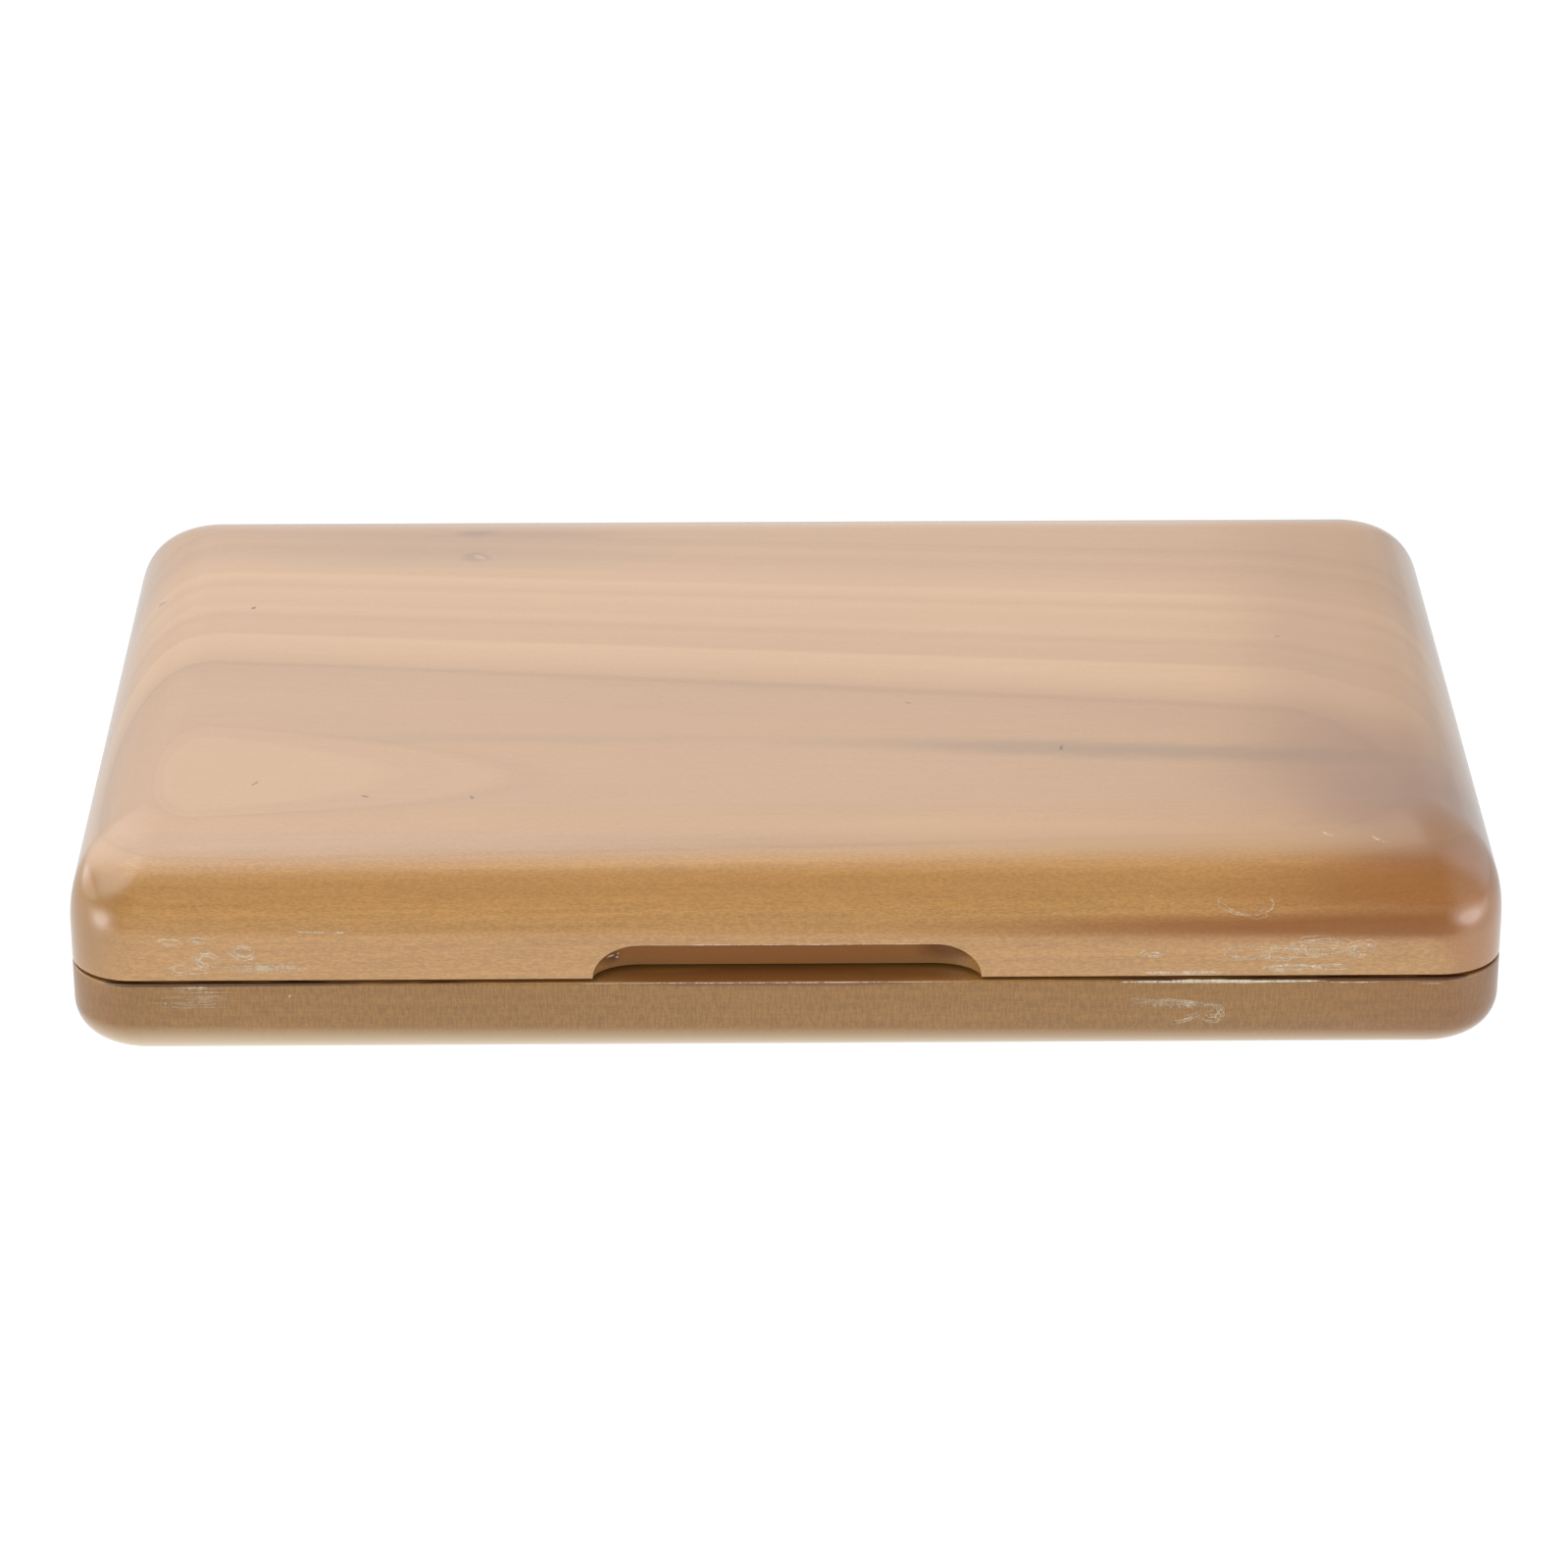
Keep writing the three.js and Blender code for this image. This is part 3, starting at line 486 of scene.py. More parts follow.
def pad_shape(low, high, foot, top):
    """A closed pad's points and faces, how many points its top has, and the top's border. The top is a
    grid over a rounded rectangle, its lines crowded towards the edges by a sine: each row is as long
    as the outline is there, and its height swells from the rolled edge as one minus the 9th and 14th
    powers of the shares along y and x. The edge is a quarter circle down to upright sides."""
    rows, columns = pad_rows, pad_columns
    along, across = (np.sin(np.linspace(-1, 1, count) * np.pi / 2 * pad_crowding)
                     / np.sin(np.pi / 2 * pad_crowding) for count in (rows, columns))
    middle = (np.array(low) + np.array(high)) / 2
    half = (np.array(high) - np.array(low))[:2] / 2 - pad_roll
    corner = pad_corner - pad_roll
    y = along * half[1]
    over = np.clip(np.abs(y) - (half[1] - corner), 0, corner)
    reach = half[0] - corner + np.sqrt(corner ** 2 - over ** 2)
    x = across[None] * reach[:, None]
    facing = np.sign(top - foot)
    swell = (1 - np.abs(across[None]) ** 14) * (1 - np.abs(along[:, None]) ** 9)
    shoulder = foot + pad_shoulder_share * (top - foot)
    z = shoulder + (top - facing * velvet_lift - shoulder) * swell
    grid = np.stack([x, np.broadcast_to(y[:, None], x.shape), z], -1)

    index = np.arange(rows * columns).reshape(rows, columns)
    border = np.concatenate([index[0, :-1], index[:-1, -1], index[-1, :0:-1], index[:0:-1, 0]])
    edge = grid.reshape(-1, 3)[border]
    ahead = np.roll(edge, -1, 0) - np.roll(edge, 1, 0)
    outward = np.stack([ahead[:, 1], -ahead[:, 0]], -1)
    outward /= np.linalg.norm(outward, axis=1, keepdims=True)
    turn = np.radians(np.linspace(0, 90, 6))[1:]
    spread = np.concatenate([pad_roll * np.sin(turn), [pad_roll, pad_roll * pad_tuck_share]])
    rolled = shoulder - facing * pad_roll * pad_drop_share * (1 - np.cos(turn))
    level = np.concatenate([rolled, [foot, foot]])
    rings = np.concatenate([edge[None, :, :2] + outward * spread[:, None, None],
                            np.broadcast_to(level[:, None, None], (len(level), len(edge), 1))], -1)
    points = np.concatenate([grid.reshape(-1, 3), rings.reshape(-1, 3)])
    points[:, :2] += middle[:2]

    count = len(border)
    loops = np.concatenate([border[None], rows * columns + np.arange(len(level) * count).reshape(-1, count)])
    beside = np.roll(loops, -1, 1)
    sides = np.stack([loops[:-1], loops[1:], beside[1:], beside[:-1]], -1).reshape(-1, 4)
    top_faces = grid_quads(rows, columns, closed=False)
    foot_face = loops[-1][::-1].tolist()
    faces = top_faces.tolist() + sides.tolist() + [foot_face]
    if facing < 0:
        faces = [face[::-1] for face in faces]
    return points, faces, rows * columns, border


def lay_velvet(piece, inner, foot, top):
    """Lets the velvet settle as cloth at ten times its size, held outside the inner points and pushed up
    by the foam, then keeps only the change in height, scaled to the room that the pad has."""
    enlarge = 10
    frames = 18
    mesh = piece.data
    flat = np.empty(len(mesh.vertices) * 3)
    mesh.vertices.foreach_get("co", flat)
    start = flat.reshape(-1, 3).copy()
    mesh.vertices.foreach_set("co", (start * enlarge).ravel())
    held = piece.vertex_groups.new(name="held")
    held.add([i for i in range(len(start)) if i not in inner], 1.0, "REPLACE")
    cloth = piece.modifiers.new("velvet", "CLOTH")
    cloth.settings.quality = 5
    cloth.settings.mass = 0.03
    cloth.settings.tension_stiffness = 8
    cloth.settings.bending_stiffness = 0.4
    cloth.settings.shrink_min = -velvet_slack
    cloth.settings.use_pressure = True
    cloth.settings.uniform_pressure_force = 6
    cloth.settings.vertex_group_mass = "held"
    cloth.settings.effector_weights.gravity = 0
    cloth.collision_settings.use_collision = False
    cloth.point_cache.frame_end = frames + 2
    for frame_number in range(1, frames + 1):
        bpy.context.scene.frame_set(frame_number)
    evaluated = piece.evaluated_get(bpy.context.evaluated_depsgraph_get())
    settled = np.empty(len(start) * 3)
    evaluated.data.vertices.foreach_get("co", settled)
    bpy.context.scene.frame_set(1)
    piece.modifiers.clear()
    piece.vertex_groups.clear()
    facing = np.sign(top - foot)
    rise = np.clip((settled.reshape(-1, 3)[:, 2] / enlarge - start[:, 2]) * facing, 0, None)
    room = (top - start[:, 2]) * facing
    risen = rise > 0
    share = min(1.0, float((room[risen] / np.maximum(rise[risen], 1e-9)).min())) if risen.any() else 0
    start[:, 2] += facing * rise * share
    mesh.vertices.foreach_set("co", start.ravel())
    print("velvet rises by up to", round(float(rise.max()) / mm, 3), "mm, used share", round(share, 2))


def velvet_pad(name, node, foot, top):
    low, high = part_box(node)
    points, faces, top_count, border = pad_shape(low, high, foot, top)
    piece = mesh_object(name, points, faces)
    lay_velvet(piece, set(range(top_count)) - set(border.tolist()), foot, top)
    piece.data.shade_smooth()
    return piece


def pile_velvet(name, deep, lit):
    """Cotton velvet: short upright pile that stays dark seen end on and catches light at a slant. The pile is
    drawn 0.25 mm apart, coarser than real, so that it shows, and lies a little differently in patches where
    it was stroked. The pile and the patches are painted as a mix of a shaded and a lit colour, a painted
    sheen."""
    material, tree = new_material(name)
    place = add_node(tree, "TexCoord").outputs["Object"]
    pile = add_node(tree, "TexNoise", {"Vector": place, "Scale": 1 / (0.25 * mm), "Detail": 1})
    stroked = add_node(tree, "TexNoise", {"Vector": place, "Scale": 1 / (18 * mm), "Detail": 2})
    # Painted sheen: the pile and the stroked patches mix a shaded colour with a lit one.
    shade = add_node(tree, "Math", [pile, 0.5], operation="MULTIPLY")
    shade = add_node(tree, "Math", [stroked, 0.8, shade], operation="MULTIPLY_ADD")
    colour = add_node(tree, "MixRGB", [shade, linear(deep), linear(lit)])
    bump = add_node(tree, "Bump", {"Height": pile, "Strength": 0.5, "Distance": 0.12 * mm})
    surface = add_node(tree, "BsdfPrincipled", {
        "Base Color": colour, "Roughness": 0.95, "Specular IOR Level": 0.15, "Normal": bump,
        "Sheen Weight": 0.5, "Sheen Roughness": 0.3, "Sheen Tint": linear("#b9605f"),
    })
    add_node(tree, "OutputMaterial", {"Surface": surface})
    return material


wine_velvet = pile_velvet("wine_cotton_velvet", velvet_shaded, velvet_lit)
base_velvet = velvet_pad("base_velvet", "base_pad", pad_low.z, pad_high.z)
base_velvet.data.materials.append(wine_velvet)
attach(base_velvet, "base")
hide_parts("base_pad")


# Peg rail
# A bar of pale oiled maple glued and screwed to the ledge behind the tray. Its edges are rounded with a
# small cutter, and it is bored for six pegs and two screws.

rail_edge = 0.9 * mm
rail_rear_corner = 4.75 * mm
peg_count = 6
peg_low, peg_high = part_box("reed_peg_1")
last_peg_low, last_peg_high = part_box("reed_peg_6")
peg_places = np.linspace((peg_low.x + peg_high.x) / 2, (last_peg_low.x + last_peg_high.x) / 2, peg_count)
peg_height = (peg_low.z + peg_high.z) / 2
rail_screw_low, rail_screw_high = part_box("rail_screw_right")
rail_screw_x = (rail_screw_low.x + rail_screw_high.x) / 2
rail_screw_y = (rail_screw_low.y + rail_screw_high.y) / 2
peg_shank_radius = 1.5 * mm
peg_shank_length = 5.5 * mm
rail_screw_sizes = {
    "head": 2.2 * mm, "height": 1.1 * mm, "shank": 1.1 * mm,
    "length": rail_screw_high.z - rail_screw_low.z, "slot": 0.55 * mm, "slot_depth": 0.5 * mm,
}
rail_pale = "#d3ab78"
rail_dark = "#b78a58"


def screw_hole(place, sizes, length, side=1):
    """A countersunk hole's cutter for a screw of the given sizes, with its mouth at the place. Side is 1
    where the screw points down."""
    mouth = sizes["head"] + fit_gap / 2
    bore = sizes["shank"] + fit_gap
    profile = [(bore, -length), (bore, -sizes["height"] - fit_gap), (mouth, -sizes["height"] / 5 - fit_gap),
               (mouth, overrun)]
    profile = [(radius, side * reach) for radius, reach in profile]
    return turned_solid("cutter", profile if side > 0 else profile[::-1], 48, place)


def make_rail():
    """The rail's outline is a rectangle with small corners in front and large ones behind. It is drawn in
    along a quarter circle at its foot and again at its top."""
    columns = ring_columns(120, 120, 6, 12)
    towards_rear = (columns[:, 1] + 1) / 2
    corner = rail_edge + (rail_rear_corner - rail_edge) * towards_rear
    turn = np.radians(np.linspace(0, 90, 7))
    inset = rail_edge * np.concatenate([1 - np.sin(turn), 1 - np.cos(turn)])
    height = np.concatenate([rail_low.z + rail_edge * (1 - np.cos(turn)),
                             rail_high.z - rail_edge * (1 - np.sin(turn))])
    rings = stacked_rings(columns, rail_high.x, (rail_high.y - rail_low.y) / 2, corner, 1, inset, height,
                          (rail_high.y + rail_low.y) / 2)
    rail = closed_stack("rail_bar", rings)
    cutters = [bore_cutter(peg_shank_radius + bore_gap, -overrun, peg_shank_length + seat_gap, 32,
                           (x, rail_low.y, peg_height), "y") for x in peg_places]
    cutters += [screw_hole((end * rail_screw_x, rail_screw_y, rail_high.z), rail_screw_sizes, rail_high.z)
                for end in (-1, 1)]
    combine(rail, cutters)
    return rail


rail_board = {
    "rise": 120, "tilt": 0.02, "twist": 0.0004, "valley": 18, "bends": [],
    "stops": [(0, 0.4), (3, 0.7), (5, 0.45), (7, 0.8), (9, 0.5), (11, 0.75), (14, 0.4), (16, 0.6)],
    "edge_shares": {"fibre": 0.2},
}
rail_maple = lacquered_maple("oiled_maple_rail", rail_board, rail_pale, rail_dark, rail_pale, 0.15)
rail_bar = make_rail()
rail_bar.data.materials.append(rail_maple)
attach(rail_bar, "base")
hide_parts("peg_rail")


# Rail screws
# Two slotted brass wood screws, countersunk into the rail a little way in from its ends.

screw_point = 0.05 * mm
slot_turns = (0.3, 1.2, 2.1, 0.8)
brass_bright = "#e9d193"
brass_dull = "#cbab66"


def make_screw(name, place, sizes, turn, side=1):
    """A countersunk slotted screw, turned about z: a point as long as the shank is thick, a shank, a cone
    up to the head, a rim a fifth of the head's height with an eased edge, and a flat face at the
    place, cut by a slot. Side is 1 where it points down."""
    head, height, shank, length = sizes["head"], sizes["height"], sizes["shank"], sizes["length"]
    ease = height / 12
    profile = [(screw_point, -length), (shank, 2 * shank - length), (shank, -height), (head, -height / 5),
               (head, -ease), (head - ease, 0)]
    profile = [(radius, side * reach) for radius, reach in profile]
    screw = turned_solid(name, profile if side > 0 else profile[::-1], 48, place)
    along = np.array([np.cos(turn), np.sin(turn)]) * head * 2
    across = np.array([-np.sin(turn), np.cos(turn)]) * sizes["slot"] / 2
    corners = np.array([-along - across, along - across, along + across, -along + across]) + place[:2]
    levels = sorted((place[2] - side * sizes["slot_depth"], place[2] + side * height))
    rings = np.array([np.column_stack([corners, np.full(4, level)]) for level in levels])
    combine(screw, [closed_stack("cutter", rings)])
    return screw


def bright_metal(name, dull, bright, patch, detail, rough, streaks, relief):
    """A metal with a clear sheen: noise in patches of the given size makes it duller and rougher there.
    Noise stretched to the streaks' sizes, in millimetres, gives fine tool lines as relief."""
    material, tree = new_material(name)
    place = add_node(tree, "TexCoord").outputs["Object"]
    lines = add_node(tree, "Mapping", {"Vector": place, "Scale": [1 / (size * mm) for size in streaks]})
    tooling = add_node(tree, "TexNoise", {"Vector": lines, "Scale": 1, "Detail": detail})
    bloom = add_node(tree, "TexNoise", {"Vector": place, "Scale": 1 / patch, "Detail": detail})
    colour = add_node(tree, "MixRGB", [bloom, linear(dull), linear(bright)])
    roughness = add_node(tree, "MapRange", [bloom, 0.3, 0.7, *rough])
    bump = add_node(tree, "Bump", {"Height": tooling, "Strength": relief, "Distance": 0.02 * mm})
    surface = add_node(tree, "BsdfPrincipled", {
        "Base Color": colour, "Metallic": 1.0, "Roughness": roughness, "Normal": bump})
    add_node(tree, "OutputMaterial", {"Surface": surface})
    return material


# Yellow brass, turned or drawn and then lacquered: golden and mirror-like, a little browner in patches.
lacquered_brass = (brass_dull, brass_bright, 4 * mm, 3, (0.38, 0.22))
screw_brass = bright_metal("turned_screw_brass", *lacquered_brass, (0.3, 0.3, 0.1), 0.2)
for word, end in (("left", -1), ("right", 1)):
    screw = make_screw("rail_screw_brass_" + word, (end * rail_screw_x, rail_screw_y, rail_screw_high.z),
                       rail_screw_sizes, end * slot_turns[0])
    screw.data.materials.append(screw_brass)
    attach(screw, "base")
    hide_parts("rail_screw_" + word)


# Reed pegs
# Six pegs turned from brass rod and pressed into the rail. A reed's tube slides on the tapered mandrel as
# far as the collar.

peg_collar_radius = 3.6 * mm
peg_collar = 1 * mm
peg_root_radius = 2.4 * mm
peg_tip_radius = 1.8 * mm
peg_tip_round = 1.1 * mm
peg_fillet = 0.35 * mm
peg_brass = bright_metal("turned_peg_brass", *lacquered_brass, (2, 0.09, 2), 0.2)


def peg_profile():
    """The peg's radius along y from its tip to the end of its shank: a rounded tip, a straight taper, a
    small fillet into a collar with eased edges, and the shank."""
    tip, collar_rear = peg_low.y, rail_low.y - seat_gap
    collar_front = collar_rear - peg_collar
    turn = np.radians(np.linspace(2, 90, 10))
    nose = np.column_stack([peg_tip_radius - peg_tip_round + peg_tip_round * np.sin(turn),
                            tip + peg_tip_round * (1 - np.cos(turn))])
    turn = np.radians(np.linspace(0, 90, 6))
    fillet = np.column_stack([peg_root_radius + peg_fillet * (1 - np.cos(turn)),
                              collar_front - peg_fillet * (1 - np.sin(turn))])
    ease = 0.2 * mm
    collar = [(peg_collar_radius - ease, collar_front),
              (peg_collar_radius - ease * 0.3, collar_front + ease * 0.3),
              (peg_collar_radius, collar_front + ease), (peg_collar_radius, collar_rear - ease),
              (peg_collar_radius - ease, collar_rear), (peg_shank_radius, collar_rear),
              (peg_shank_radius, peg_high.y - ease), (peg_shank_radius - ease, peg_high.y)]
    return np.concatenate([nose, fillet, collar])


for number, x in enumerate(peg_places):
    peg = turned_solid(f"brass_peg_{number + 1}", peg_profile(), 64, (x, 0, peg_height), "y")
    peg.data.materials.append(peg_brass)
    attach(peg, "base")
    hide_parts(f"reed_peg_{number + 1}")


# Closing magnets
# Four nickel-plated disc magnets, glued into blind holes in the two rims so that each pair meets when the
# case shuts.

magnet_ease = 0.25 * mm
nickel_bright = "#cfcdc6"
nickel_dull = "#a5a39c"
nickel_cloud = 1.2 * mm

# Nickel plate over a sintered disc: white, slightly warm and bright, with faint cloudiness.
bright_nickel = bright_metal("bright_nickel_plate", nickel_dull, nickel_bright, nickel_cloud, 4,
                             (0.32, 0.16), (1.2, 1.2, 1.2), 0.1)
turn = np.radians(np.linspace(0, 90, 5))
for body in ("base", "lid"):
    for word in ("left", "right"):
        low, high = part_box(f"{body}_magnet_{word}")
        radius = (high.x - low.x) / 2
        edge = radius - magnet_ease * (1 - np.sin(turn))
        rise = magnet_ease * (1 - np.cos(turn))
        profile = np.column_stack([np.concatenate([edge, edge[::-1]]),
                                   np.concatenate([low.z + rise, high.z - rise[::-1]])])
        middle = ((low.x + high.x) / 2, (low.y + high.y) / 2, 0)
        disc = turned_solid(f"{body}_disc_{word}", profile, 64, middle)
        disc.data.materials.append(bright_nickel)
        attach(disc, body)
        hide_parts(f"{body}_magnet_{word}")


# Hinges
# Two brass butt hinges, each two stamped leaves with rolled knuckles on one headed pin, let in flush and
# held by four small slotted screws.

leaf_corner = 0.8 * mm
knuckle_count = 5
pin_radius = 0.6 * mm
pin_head_radius = (pin_high.z - pin_low.z) / 2
pin_head = 0.5 * mm
hinge_screw_low, hinge_screw_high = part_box("base_screw_right_2")
hinge_screw_y = (hinge_screw_low.y + hinge_screw_high.y) / 2
hinge_screw_spacing = 12 * mm
hinge_screw_sizes = {
    "head": 1.6 * mm, "height": 0.75 * mm, "shank": 0.75 * mm,
    "length": hinge_screw_high.z - hinge_screw_low.z, "slot": 0.4 * mm, "slot_depth": 0.35 * mm,
}
knuckle_radius = leaf_high.y - axis_y
leaf_brass = bright_metal("drawn_leaf_brass", *lacquered_brass, (0.12, 3, 3), 0.2)


def make_leaf(name, centre, side, owned):
    """One leaf: a plate with rounded corners reaching forward from the pin, with barrels rolled where it
    owns the knuckle and gaps where it doesn't. Side is -1 for the base's leaf and 1 for the lid's."""
    rim = axis_z + side * (lid_low.z - base_top) / 2
    levels = sorted((rim, rim + side * leaf_thickness))
    ease = 0.07 * mm
    half_leaf = (leaf_high.x - leaf_low.x) / 2
    half_reach = (axis_y - leaf_low.y) / 2 + leaf_corner / 2
    middle_y = (axis_y + leaf_low.y) / 2 + leaf_corner / 2
    rings = stacked_rings(ring_columns(24, 24, 10, 8), half_leaf, half_reach, leaf_corner, 1,
                          [ease, 0, 0, ease],
                          [levels[0], levels[0] + ease, levels[1] - ease, levels[1]], middle_y)
    rings[..., 0] += centre
    leaf = closed_stack(name, rings)
    step = 2 * half_leaf / knuckle_count
    middles = centre + (np.arange(knuckle_count) - (knuckle_count - 1) / 2) * step
    half_barrel = (step - fit_gap) / 2
    profile = [(knuckle_radius - ease, -half_barrel), (knuckle_radius, ease - half_barrel),
               (knuckle_radius, half_barrel - ease), (knuckle_radius - ease, half_barrel)]
    barrels = [turned_solid("barrel", profile, 48, (middle, axis_y, axis_z), "x")
               for middle in middles[owned::2]]
    clear = knuckle_radius + fit_gap
    half_gap = half_barrel + fit_gap
    gaps = [block_cutter((middle - half_gap, axis_y - clear, axis_z - clear),
                         (middle + half_gap, axis_y + clear, axis_z + clear))
            for middle in middles[1 - owned::2]]
    holes = [screw_hole((centre + end * hinge_screw_spacing / 2, hinge_screw_y, rim), hinge_screw_sizes,
                        hinge_screw_sizes["length"], -side) for end in (-1, 1)]
    reach = half_leaf + overrun
    bore = bore_cutter(pin_radius + bore_gap, -reach, reach, 32, (centre, axis_y, axis_z), "x")
    combine(leaf, barrels, "UNION")
    combine(leaf, gaps + holes + [bore])
    return leaf


for word, end in (("left", -1), ("right", 1)):
    centre = end * (pin_low.x + pin_high.x) / 2
    for body, side, owned in (("base", -1, 0), ("lid", 1, 1)):
        leaf = make_leaf(f"{body}_leaf_{word}", centre, side, owned)
        leaf.data.materials.append(leaf_brass)
        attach(leaf, body)
        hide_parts(f"hinge_{body}_leaf_{word}")
        for number in (0, 1):
            node = f"{body}_screw_{word}_{number + 1}"
            low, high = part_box(node)
            head = high.z if side < 0 else low.z
            place = (centre + (2 * number - 1) * hinge_screw_spacing / 2, hinge_screw_y, head)
            turn = slot_turns[number] if side < 0 else -slot_turns[number + 2]
            screw = make_screw(f"{body}_hinge_screw_{word}_{number + 1}", place, hinge_screw_sizes,
                               turn, -side)
            screw.data.materials.append(screw_brass)
            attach(screw, body)
            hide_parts(node)

    reach = (pin_high.x - pin_low.x) / 2
    ease = 0.12 * mm
    inner = reach - pin_head
    half_profile = [(pin_radius, inner), (pin_head_radius - ease, inner), (pin_head_radius, inner + ease),
                    (pin_head_radius, reach - ease * 1.5), (pin_head_radius - ease, reach - ease * 0.4),
                    (pin_head_radius - ease * 2.5, reach)]
    profile = [(radius, -place) for radius, place in half_profile[::-1]] + half_profile
    pin = turned_solid("pin_brass_" + word, profile, 48, (centre, axis_y, axis_z), "x")
    pin.data.materials.append(screw_brass)
    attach(pin, "base")
    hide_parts("hinge_pin_" + word)


# Lid shell
# The upper half is a deeper block of maple, rounded over on all four sides and hollowed from below. A
# round-nosed cutter has taken a finger notch out of its lower front edge.

lid_bottom = lid_low.z
lid_top = lid_high.z
lid_band = 3.3 * mm
lid_round_across = 10 * mm
lid_round_power = 2.4
lid_roof = 3.2 * mm
lid_round_rise = lid_top - lid_bottom - lid_band
edge_rows = 6

notch_flat = 28.4 * mm
notch_end = 4.7 * mm
notch_height = 3.6 * mm
notch_depth = 3.2 * mm
notch_power = 3
notch_lip = 0.22 * mm
patch_reach = 24 * mm
patch_height = 6.5 * mm
lip_rows = 8
wall_rows = 16
end_columns = 26

lid_pale = "#ae8558"
lid_dark = "#90673c"
# Partly painted light: the lid's sapwood front is made lighter to stand for light from the front.
lid_sapwood_and_front_light = "#ba8a50"


def lid_face(rise):
    """How far the lid's side is drawn in at a height above its lower edge: a quarter circle at the broken
    edge, nothing up the band, and a superellipse over the round."""
    rise = np.asarray(rise, float)
    low = np.clip(1 - rise / edge_break, 0, 1)
    up = np.clip((rise - lid_band) / lid_round_rise, 0, 1)
    broken = edge_break * (1 - np.sqrt(1 - low ** 2))
    return broken + lid_round_across * (1 - (1 - up ** lid_round_power) ** (1 / lid_round_power))


def make_lid_shell():
    """The lid's skin in rows from its lower edge to its flat top. A patch of the front is left out and
    filled by the notch's own grid, which shares the patch's edge points."""
    ease = np.radians(np.linspace(0, 90, edge_rows))
    edge_rise = edge_break * (1 - np.cos(ease))
    band_rise = np.linspace(edge_break, lid_band, 5)[1:]
    over = np.radians(np.linspace(0, 90, 40))[1:]
    over_rise = lid_band + lid_round_rise * np.sin(over) ** (2 / lid_round_power)
    over_inset = lid_round_across * (1 - np.cos(over) ** (2 / lid_round_power))
    rise = np.concatenate([edge_rise, band_rise, over_rise])
    inset = np.concatenate([lid_face(edge_rise), lid_face(band_rise), over_inset])
    inset[edge_rows - 1:edge_rows + len(band_rise)] = 0
    front_steps = 140
    columns = ring_columns(80, front_steps, 50, 22)
    rings = stacked_rings(columns, half_width, half_depth, corner_radius, corner_tighten, inset,
                          lid_bottom + rise)
    rows, count = rings.shape[:2]

    # The patch runs from its left column to its right column, and up to its top row.
    left = int(np.argmin(np.abs(rings[0, :front_steps, 0] + patch_reach)))
    right = front_steps - left
    top = int(np.argmin(np.abs(rise - patch_height)))
    quads = grid_quads(rows, count).reshape(rows - 1, count, 4)
    keep = np.ones((rows - 1, count), bool)
    keep[:top, left:right] = False
    faces = quads[keep].tolist()
    faces.append(list(range((rows - 1) * count, rows * count)))

    grid = notch_grid(rings, left, right, top, rise)
    grid_rows, grid_columns = grid.shape[:2]
    first = rows * count
    patch = grid_quads(grid_rows, grid_columns, first, closed=False)
    faces += patch[:, ::-1].tolist()
    # The rim's outline: round the skin's lower edge, then in along the notch's lower edge.
    outline = list(range(right, count)) + list(range(0, left + 1))
    outline += [first + i * grid_columns for i in range(1, grid_rows)]
    last_row = first + (grid_rows - 1) * grid_columns
    outline += [last_row + j for j in range(1, grid_columns)]
    outline += [first + i * grid_columns + grid_columns - 1 for i in range(grid_rows - 2, 0, -1)]
    faces.append(outline[::-1])
    shell = make_mesh("lid_body", np.concatenate([rings.reshape(-1, 3), grid.reshape(-1, 3)]), faces)
    well = well_cutter(lid_top - lid_roof, lid_bottom, half_width - side_wall, well_front, well_rear, -1)
    combine(shell, [well] + hinge_cutters(lid_bottom, 1) + magnet_cutters(lid_bottom, -1))
    return shell


